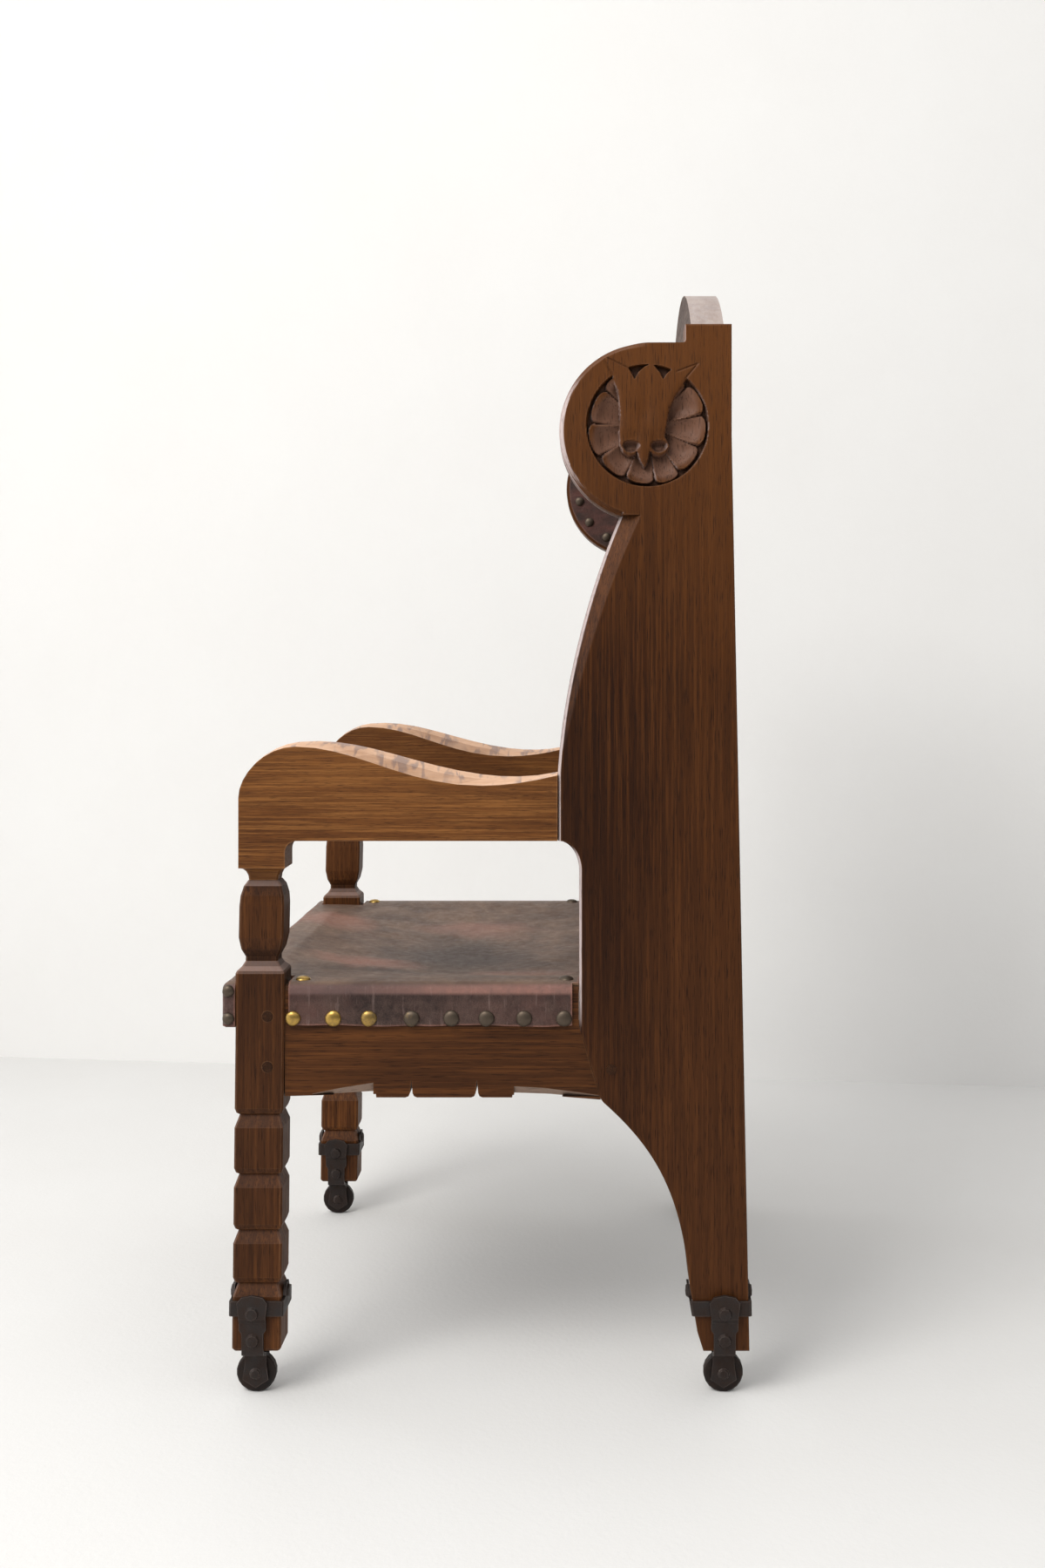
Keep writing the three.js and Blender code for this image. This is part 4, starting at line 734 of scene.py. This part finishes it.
def carving_depth(y, z):
    """Depth of the rosette with the bird's head left standing in it."""
    u, v = y - ROSETTE[0], z - ROSETTE[1]
    radius, angle = np.hypot(u, v), np.arctan2(v, u)
    within = inside_by(u, v, HEAD)
    petals = petal_depth(radius, angle)
    head = head_depth(u, v, within)
    sunk = petals + (head - petals) * smooth_step(-1.0 * MM, 0.2 * MM, within)
    cut = np.zeros_like(u)
    for outline in CROWN_CUTS:
        cut = np.maximum(cut, 8.5 * MM * smooth_step(-0.6 * MM, 0.7 * MM, inside_by(u, v, outline)))
    sunk = np.maximum(sunk, cut)
    edge = smooth_step(ROSETTE_RADIUS + 0.9 * MM, ROSETTE_RADIUS - 0.5 * MM, radius)
    depth = sunk * edge
    for start, end in EAR_LINES:
        line = distance_to_line(u, v, start, end)
        depth = np.maximum(depth, 1.5 * MM * np.clip(1 - line / (1.3 * MM), 0, 1))
    return depth


def panel_relief(y, z, front, back):
    """Depth of the whole outer face: stopped bevel, roundel rim, rosette, eased edges and tool marks."""
    inward = y - front
    below = z < NOTCH[1]
    left = np.clip(1 - (NOTCH[1] - z) / BEVEL_LENGTH, 0, 1) * below
    bevel = BEVEL_SLOPE * np.clip(BEVEL_WIDTH * left ** 0.6 - inward, 0, None) * below
    reach = np.hypot(y - ROUNDEL[0], z - ROUNDEL[1])
    turn = np.degrees(np.arctan2(z - ROUNDEL[1], y - ROUNDEL[0])) % 360
    free = smooth_step(88, 104, turn) * (turn < NOTCH_ANGLE + 1) * ~below
    rim = 1.5 * np.clip(RIM_WIDTH - (ROUNDEL_RADIUS - reach), 0, None) * free
    strip = 1.7 * np.clip(STRIP_WIDTH - inward, 0, None) * below * smooth_step(0.41, 0.44, z)
    lines = sum(np.exp(-(((ROUNDEL_RADIUS - reach - at * MM) / (0.45 * MM)) ** 2)) for at in (1.5, 3.2))
    near = np.minimum(np.minimum(inward, back - y), np.minimum(z - FOOT, STUB_TOP - z))
    eased = EASE - np.sqrt(np.clip(EASE ** 2 - np.clip(EASE - near, 0, EASE) ** 2, 0, None))
    depth = np.maximum(np.maximum(bevel + strip, rim + 0.35 * MM * lines * free), eased)
    marks = 0.14 * MM * (1 + ripple(y, z, 5, 0.07)) * smooth_step(0, 6 * MM, near)
    return np.maximum(depth, carving_depth(y, z)) + marks


def panel_rows():
    """Heights of the rows of a panel's grid, with the panel's front edge at each."""
    line = front_edge_line()
    stretches = ((TOE_TOP, 0.34, 44), (0.345, ARM_LEVEL, 40), (0.6085, 0.6395, 12), (0.6405, 1.0148, 92))
    turn = np.radians(np.linspace(NOTCH_ANGLE, 90, 235)) * -1 + math.pi
    rounds = ROUNDEL[1] + ROUNDEL_RADIUS * np.sin(turn)
    heights = np.concatenate([[FOOT, FOOT + 0.0015, 0.06], *(np.linspace(*part) for part in stretches),
                              np.sort(rounds)[1:]])
    front = np.interp(heights, line[:, 1], line[:, 0])
    cove = [(WING_TOP + 0.00005, STUB_FRONT - 0.003), (WING_TOP + 0.0009, STUB_FRONT - 0.0009)]
    stub = [(z, STUB_FRONT) for z in (WING_TOP + 0.003, 1.222, 1.229, 1.2329, STUB_TOP)]
    extra = np.array(cove + stub)
    return np.concatenate([heights, extra[:, 0]]), np.concatenate([front, extra[:, 1]])


def side_panel(side):
    """A side panel: relief grid outside, plain board inside and straight edges between them."""
    heights, front = panel_rows()
    back = np.where(heights > RAKE_TOP, PANEL_BACK,
                    FOOT_BACK + (PANEL_BACK - FOOT_BACK) * (heights - FOOT) / (RAKE_TOP - FOOT))
    ends = np.array([0.0, 0.004, 0.009])
    share = np.unique(np.concatenate([ends, np.linspace(0, 1, PANEL_COLUMNS), 1 - ends]))
    y = front[:, None] + (back - front)[:, None] * share
    z = np.broadcast_to(heights[:, None], y.shape)
    outer = np.stack([HALF_WIDTH - panel_relief(y, z, front[:, None], back[:, None]), y, z], -1)
    inner = np.stack([np.full((len(front), 2), PANEL_INNER), np.stack([front, back], -1), z[:, :2]], -1)
    rows, columns = y.shape
    points = np.concatenate([outer.reshape(-1, 3), inner.reshape(-1, 3)]) * [SIDES[side], 1, 1]
    start = rows * columns
    last = start - columns
    i = np.arange(rows - 1)
    front_wall = np.stack([i * columns, (i + 1) * columns, start + 2 * i + 2, start + 2 * i], -1)
    back_wall = np.stack([(i + 1) * columns - 1, start + 2 * i + 1, start + 2 * i + 3,
                          (i + 2) * columns - 1], -1)
    bottom = [list(range(columns))[::-1] + [start, start + 1]]
    top = [list(range(last, start)) + [start + 2 * rows - 1, start + 2 * rows - 2]]
    faces = [grid_quads(rows, columns), grid_quads(rows, 2, start)[:, ::-1],
             front_wall, back_wall, bottom, top]
    if SIDES[side] < 0:
        faces = [[list(face)[::-1] for face in block] for block in faces]
    thing = make_object(f"panel_{side}", points, faces, oak_up)
    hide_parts(f"side_panel_{side}")
    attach(thing, "root")


for side in SIDES:
    side_panel(side)


# Studs: domed brass heads, slightly uneven

STUD_RINGS = 7
STUD_SIDES = 18
STUD_SKIRT = 1.5 * MM


def studs(name, places, directions, radii, rise):
    """One mesh of domes: h = rise * cos(t), r = radius * sin(t), each a little dented and tilted."""
    rng = np.random.default_rng(len(places))
    t = np.linspace(0.06, math.pi / 2, STUD_RINGS)
    turn = np.linspace(0, 2 * math.pi, STUD_SIDES, endpoint=False)
    points, faces = [], []
    for k, (place, direction, radius) in enumerate(zip(places, directions, radii)):
        normal = np.array(direction, float) + rng.normal(0, 0.035, 3)
        normal /= np.linalg.norm(normal)
        side_way = np.cross(normal, [0.31, 0.52, 0.79])
        side_way /= np.linalg.norm(side_way)
        other = np.cross(normal, side_way)
        r = radius * np.sin(t)[:, None] * (1 + 0.025 * np.sin(3 * turn + rng.uniform(0, 6)))
        h = rise * np.cos(t)[:, None] * np.ones(STUD_SIDES)
        dome = (np.array(place) + r[..., None] * (np.cos(turn)[:, None] * side_way
                + np.sin(turn)[:, None] * other) + h[..., None] * normal)
        points.append(np.concatenate([dome.reshape(-1, 3), dome[-1] - STUD_SKIRT * normal]))
        start = k * (STUD_RINGS + 1) * STUD_SIDES
        foot = start + STUD_RINGS * STUD_SIDES
        faces.append(grid_quads(STUD_RINGS + 1, STUD_SIDES, start, wrap=True)[:, ::-1])
        faces.append([list(range(start, start + STUD_SIDES)), list(range(foot, foot + STUD_SIDES))[::-1]])
    return make_object(name, np.concatenate(points), faces, brass_studs)


# Seat leather

SEAT_TOP = 0.478
LEATHER = 3.5 * MM
SEAT_FACE = HALF_WIDTH - 0.2 * MM
EDGE_ROUND = 9 * MM
FLAP_FOOT = 0.4274
RAIL_REACH = 0.288
SAG = 0.024
SIDE_STUDS = (0.066, 0.1123, 0.1533, 0.2023, 0.248, 0.2883, 0.3317, 0.3777)
STUD_LINE = 0.4365
LEG_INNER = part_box("front_leg_left")[0].x
LEG_BACK = 0.061
PANEL_START = 0.3945
FLAP_END = 0.387
SEAT_FRONT = -0.008
SEAT_END = 0.525
CAP_FRONT = -0.016
CAP_CORNER = 8 * MM
SEAT_STUD_RISE = 4.6 * MM


def seat_section(inset):
    """The seat's section from the left flap's foot to the right one's, as points (x, z), and shares."""
    face, radius, top = SEAT_FACE - inset, EDGE_ROUND - inset, SEAT_TOP - inset
    flap = np.stack([np.full(12, face), np.linspace(FLAP_FOOT, SEAT_TOP - EDGE_ROUND, 12)], -1)
    bend = np.radians(np.linspace(0, 90, 9))[1:]
    shoulder = np.stack([face - radius * (1 - np.cos(bend)), top - radius * (1 - np.sin(bend))], -1)
    ledge = np.array([[0.304, top], [0.297, top], [RAIL_REACH, top]])
    inner = RAIL_REACH * np.concatenate([[0.985, LEG_INNER / RAIL_REACH - 0.0016], np.linspace(0.93, 0, 34)])
    middle = np.stack([inner, np.full(len(inner), top)], -1)
    half = np.concatenate([flap, shoulder, ledge, middle])
    return np.concatenate([half, (half * [-1, 1])[-2::-1]])


def seat_surface(inset, y):
    """The seat sheet: its section at each y, sagging between the rails and wrinkled between the studs."""
    line = seat_section(inset)
    x = np.broadcast_to(line[:, 0], (len(y), len(line))).copy()
    z = np.broadcast_to(line[:, 1], x.shape).copy()
    depth = np.broadcast_to(y[:, None], x.shape)
    across = np.clip(1 - np.abs(x / RAIL_REACH) ** 2.2, 0, 1)
    share = np.clip((depth - 0.03) / (0.5 - 0.03), 0, 1)
    hang = across * np.sin(math.pi * share) ** 0.7
    pull = ripple(x * 0.35, depth, 3, 0.11) * np.clip(hang, 0, 1) ** 0.8
    long_folds = np.sin(x * 95 + 2.2 * np.sin(depth * 11)) * hang * (1 - hang) * 4
    z -= SAG * hang + 1.3 * MM * pull + 0.6 * MM * long_folds
    low = np.clip((SEAT_TOP - 0.004 - z) / 0.04, 0, 1) * (np.abs(x) > 0.3)
    nearest = np.min([np.abs(depth - at) for at in SIDE_STUDS], axis=0)
    puff = smooth_step(0.006, 0.02, nearest) * low
    x -= np.sign(x) * 1.3 * MM * (1 - puff) * low
    foot = smooth_step(0.012, 0.0, z - FLAP_FOOT) * low
    z += foot * 1.6 * MM * (0.6 + ripple(depth, x, 9, 0.06)) * (SEAT_TOP - z > 0.02)
    return np.stack([x, depth, z], -1)


def seat_hide():
    """The seat sheet with its notches round the legs and the panels, its flat size and its area."""
    y = np.concatenate([np.linspace(SEAT_FRONT, -0.0003, 4), np.linspace(0.004, 0.0563, 12),
                        np.linspace(LEG_BACK, FLAP_END, 74), [PANEL_START], np.linspace(0.4, SEAT_END, 26)])
    upper, lower = seat_surface(0.0, y), seat_surface(LEATHER, y)
    line = seat_section(0.0)
    x = np.abs(line[:, 0])
    out = np.minimum(x[1:], x[:-1])[None, :]
    middle = ((y[1:] + y[:-1]) / 2)[:, None]
    cut = (out >= LEG_INNER - 0.9 * MM) & ((middle < LEG_BACK) | (middle > PANEL_START))
    cut |= (out >= SEAT_FACE - EDGE_ROUND * 0.5) & (middle > FLAP_END)
    thing = masked_slab("seat_hide", upper, lower, seat_leather, cut_edge, ~cut)
    area = float((cell_areas(upper) * ~cut).sum())
    width = float(np.hypot(*np.diff(line, axis=0).T).sum())
    return thing, (width, SEAT_END - SEAT_FRONT), area


def front_cap():
    """The leather cap of the front rail: up the face, over the edge and inwards, round both ends."""
    bend = np.radians(np.linspace(0, 90, 7))
    right = [(SEAT_FACE, -0.0004), (SEAT_FACE, -0.004)]
    right += [(SEAT_FACE - CAP_CORNER * (1 - math.cos(a)), CAP_FRONT + CAP_CORNER * (1 - math.sin(a)))
              for a in bend]
    middle = [(x, CAP_FRONT) for x in np.linspace(SEAT_FACE - 0.02, -SEAT_FACE + 0.02, 60)]
    plan = np.array(right + middle + [(-x, y) for x, y in reversed(right)])
    step = np.gradient(plan, axis=0)
    step /= np.linalg.norm(step, axis=1)[:, None]
    inwards = np.stack([step[:, 1], -step[:, 0]], -1)

    def shell(inset):
        radius, start = EDGE_ROUND - inset, SEAT_TOP - EDGE_ROUND
        rise = [(0.0, z) for z in np.linspace(FLAP_FOOT, start, 9)]
        rise += [(radius * (1 - math.cos(a)), start + radius * math.sin(a)) for a in bend[1:]]
        rise += [(radius + 0.004, SEAT_TOP - inset - 0.0002)]
        rows = []
        for into, z in rise:
            moved = plan + inwards * (into + inset)
            moved[:, 1] = np.minimum(moved[:, 1], -0.0004 + max(0.0, z - SEAT_TOP + 0.002))
            rows.append(np.column_stack([moved, np.full(len(plan), z)]))
        grid = np.array(rows)
        inner = smooth_step(0.31, 0.29, np.abs(grid[..., 0]))
        wave = ripple(grid[..., 0], grid[..., 2], 21, 0.07) * inner
        grid[..., 1] += 0.5 * MM * wave + 0.6 * MM * inner
        return grid

    return masked_slab("seat_hide_front", shell(0.0), shell(LEATHER), seat_leather, cut_edge)


def seat_studs():
    """Stud places of the seat: both sides, the top corners, the rail ends and the front."""
    rows = []
    for hand in SIDES.values():
        out = (hand, 0, 0)
        rows += [((hand * (SEAT_FACE - 1.2 * MM), y, STUD_LINE), out, (8.8 if y < 0.07 else 9.4) * MM)
                 for y in SIDE_STUDS]
        rows += [((hand * 0.3, y, SEAT_TOP - 0.6 * MM), (0, 0, 1), 9.0 * MM) for y in (0.0747, 0.38)]
        rows += [((hand * (SEAT_FACE - 0.4 * MM), SEAT_FRONT, z), out, 7.0 * MM) for z in (0.468, STUD_LINE)]
        rows += [((hand * (k + 0.5) * 0.0507, CAP_FRONT + 0.5 * MM, STUD_LINE), (0, -1, 0), 7.4 * MM)
                 for k in range(6)]
    return studs("seat_studs", *zip(*rows), SEAT_STUD_RISE)


seat, seat_flat, seat_area = seat_hide()
cap = front_cap()
seat_nails = seat_studs()
for thing in (seat, cap, seat_nails):
    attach(thing, "root")
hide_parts("seat_leather")


# Back leather and its studs

BACK_FACE = 0.5301
BACK_HALF = 0.266
BACK_FOOT = 0.5
CREST_RADIUS = 0.33
BACK_TOP = 1.255
BORDER = 0.07
BACK_THICK = 6.4 * MM
BACK_SWELL = 16 * MM
STUD_RISE = 3.6 * MM
BACK_STUD = 6.8 * MM


def back_surface(u, v, full):
    """The stuffed back: x across, z up to the arch, y forward by a swell that dies at the border."""
    x = BACK_HALF * (2 * u - 1)
    top = BACK_TOP - CREST_RADIUS + np.sqrt(CREST_RADIUS ** 2 - x ** 2)
    z = BACK_FOOT + v * (top - BACK_FOOT)
    inside = [np.clip((share - BORDER) / (1 - 2 * BORDER), 0, 1) for share in (u, v)]
    swell = (np.sin(math.pi * inside[0]) * np.sin(math.pi * inside[1])).clip(0) ** 0.45
    folds = ripple(x, z * 0.6, 31, 0.16) * swell * 1.4 * MM
    tug = np.exp(-((np.minimum(u, 1 - u) - BORDER) / 0.03) ** 2) * 0.8 * MM * np.cos(z * 165)
    thick = BACK_THICK + BACK_SWELL * swell + folds + tug * (v > 0.1)
    return np.stack([x, BACK_FACE - full * thick, z], -1)


def back_hide():
    """The back leather and the studs of its border."""
    u, v = np.meshgrid(np.linspace(0, 1, 74), np.linspace(0, 1, 100))
    thing = masked_slab("back_hide", back_surface(u, v, 1.0), back_surface(u, v, 0.0), back_leather,
                        back_leather)
    edge = BORDER / 2
    upright = [edge + k / 17 * (1 - 2 * edge) for k in range(18)]
    across = [edge + k / 11 * (1 - 2 * edge) for k in range(1, 11)]
    shares = [(s, t) for t in upright for s in (edge, 1 - edge)]
    shares += [(s, 1 - edge * 0.8) for s in across] + [(s, edge * 0.5) for s in across]
    rows = [(back_surface(np.array(s), np.array(t), 1.0), (0, -1, 0), BACK_STUD) for s, t in shares]
    return thing, studs("back_studs", *zip(*rows), STUD_RISE)


back, back_nails = back_hide()
for thing in (back, back_nails):
    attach(thing, "root")
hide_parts("back_leather")


# Wing leathers

WING_HIDE_FOOT = 0.49
WING_HIDE_BACK = 0.518
WING_MARGIN = 4 * MM
WING_STUD_INSET = 18 * MM
WING_STUD = 7 * MM
WING_STUD_ANGLES = (98, 121, 145, 169, 193, 217, 241)


def wing_hide(side):
    """The leather on the inner face of a wing: a sheet inside the panel's outline, with its studs."""
    hand = SIDES[side]
    line = front_edge_line()
    radius = ROUNDEL_RADIUS - WING_MARGIN
    heights = np.concatenate([np.linspace(WING_HIDE_FOOT, 1.0148, 90),
                              ROUNDEL[1] + radius * np.sin(np.radians(np.linspace(-71, 90, 110)))])
    on_round = ROUNDEL[0] - np.sqrt(np.clip(radius ** 2 - (heights - ROUNDEL[1]) ** 2, 0, None))
    front = np.interp(heights, line[:, 1], line[:, 0]) + WING_MARGIN
    front = np.where(heights > 1.0156, on_round, front)
    y = front[:, None] + (WING_HIDE_BACK - front)[:, None] * np.linspace(0, 1, 26)
    z = np.broadcast_to(heights[:, None], y.shape)
    edge = np.minimum(np.minimum(y - front[:, None], z - WING_HIDE_FOOT), 0.06)
    uneven = (0.5 + 0.5 * ripple(y, z, 41, 0.09)) * 0.5 * MM * smooth_step(0.004, 0.03, edge)
    face = PANEL_INNER - 0.3 * MM
    surface = np.stack([face - 2.2 * MM - 1.2 * MM * smooth_step(0, 0.003, edge) - uneven, y, z], -1)
    lower = np.stack([np.full_like(y, face), y, z], -1)
    thing = masked_slab(f"wing_hide_{side}", surface, lower, back_leather, cut_edge, mirror=hand)
    reach = ROUNDEL_RADIUS - WING_STUD_INSET
    places = [(ROUNDEL[0] + reach * math.cos(a), ROUNDEL[1] + reach * math.sin(a))
              for a in np.radians(WING_STUD_ANGLES)]
    places += [(float(np.interp(h, line[:, 1], line[:, 0])) + WING_STUD_INSET, h)
               for h in np.linspace(0.985, 0.74, 7)]
    rows = [((hand * (face - 3.4 * MM), y, z), (-hand, 0, 0), WING_STUD) for y, z in places]
    nails = studs(f"wing_studs_{side}", *zip(*rows), STUD_RISE)
    for piece in (thing, nails):
        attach(piece, "root")
    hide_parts(f"wing_leather_{side}")


for side in SIDES:
    wing_hide(side)


# Stage, light and camera

STAGE = {  # corners and paleness
    "floor": ([(-9, -9, 0), (9, -9, 0), (9, 9, 0), (-9, 9, 0)], 0.66),
    "wall": ([(-1.47, -3, 0), (-0.79, 3, 0), (-0.79, 3, 3.6), (-1.47, -3, 3.6)], 0.83),
}
KEY_PLACE, KEY_AIM = (2.0, -1.4, 3.0), (0, 0, 0.6)
KEY_SIZE, KEY_POWER, KEY_COLOUR = 1.6, 78.0, (1.0, 0.985, 0.955)
CAMERA_GAP, CAMERA_Y, CAMERA_Z = 1.8, 0.407, 0.84
LENS = 36.0
PHOTO_HEIGHT = 1800
SHIFT_PIXELS = (-77, -134)


def stage():
    """A pale floor and the pale wall behind the chair, which is seen only from its front."""
    for name, (corners, base) in STAGE.items():
        material, shader, place = new_material(f"pale_{name}")
        colour = mix(noise(place, 3.0, 4.0, 0.6), (base, 0.985 * base, 0.965 * base),
                     (1.05 * base, 1.045 * base, 1.03 * base))
        rough = plus(noise(place, 140.0, 4.0), noise(place, 14.0, 3.0))
        finish_shader(shader, colour, 0.95, rough, 0.25, 0.0015, Specular_IOR_Level=0.1)
        if name == "wall":
            tree = shader.id_data
            away = add_node(tree, "NewGeometry").outputs["Backfacing"]
            clear = add_node(tree, "BsdfTransparent").outputs[0]
            both = add_node(tree, "MixShader", {0: away, 1: shader.outputs[0], 2: clear})
            feed(tree.nodes["Material Output"], {0: both.outputs[0]})
        make_object(name, np.array(corners, float), [[(0, 1, 2, 3)]], material, shift=False)


def lights():
    """A studio that is white overhead and in front, dim at both sides, with a large soft key light."""
    world = bpy.data.worlds.new("studio")
    world.use_nodes = True
    tree = world.node_tree
    _, back, up = axes(add_node(tree, "TexCoord").outputs["Generated"])
    ahead = map_range(times(back, -1.0), 0.35, 0.95, 0.0, 1.7)
    lit = plus(plus(map_range(up, 0.15, 0.85), ahead), 0.08)
    seen = add_node(tree, "LightPath").outputs["Is Camera Ray"]
    strength = add_node(tree, "Mix", {0: seen, 2: lit, 3: 0.97}).outputs[0]
    feed(tree.nodes["Background"], {0: (1.0, 1.0, 1.0), 1: strength})
    bpy.context.scene.world = world
    data = bpy.data.lights.new("key", "AREA")
    data.size, data.energy, data.color = KEY_SIZE, KEY_POWER, KEY_COLOUR
    key = bpy.data.objects.new("key", data)
    bpy.context.scene.collection.objects.link(key)
    key.location = KEY_PLACE
    key.rotation_euler = (Vector(KEY_AIM) - Vector(KEY_PLACE)).to_track_quat("-Z", "Y").to_euler()


def camera():
    """The photograph's viewpoint: square to the left side, 36 mm lens, shifted as the frame is."""
    data = bpy.data.cameras.new("view")
    data.lens = data.sensor_width = LENS
    data.shift_x, data.shift_y = (part / PHOTO_HEIGHT for part in SHIFT_PIXELS)
    thing = bpy.data.objects.new("view", data)
    bpy.context.scene.collection.objects.link(thing)
    thing.location = (HALF_WIDTH + CAMERA_GAP, CAMERA_Y + SHIFT[1], CAMERA_Z + SHIFT[2])
    thing.rotation_euler = (math.pi / 2, 0.0, math.pi / 2)
    bpy.context.scene.camera = thing


stage()
lights()
camera()
bpy.context.scene.view_settings.view_transform = "Standard"
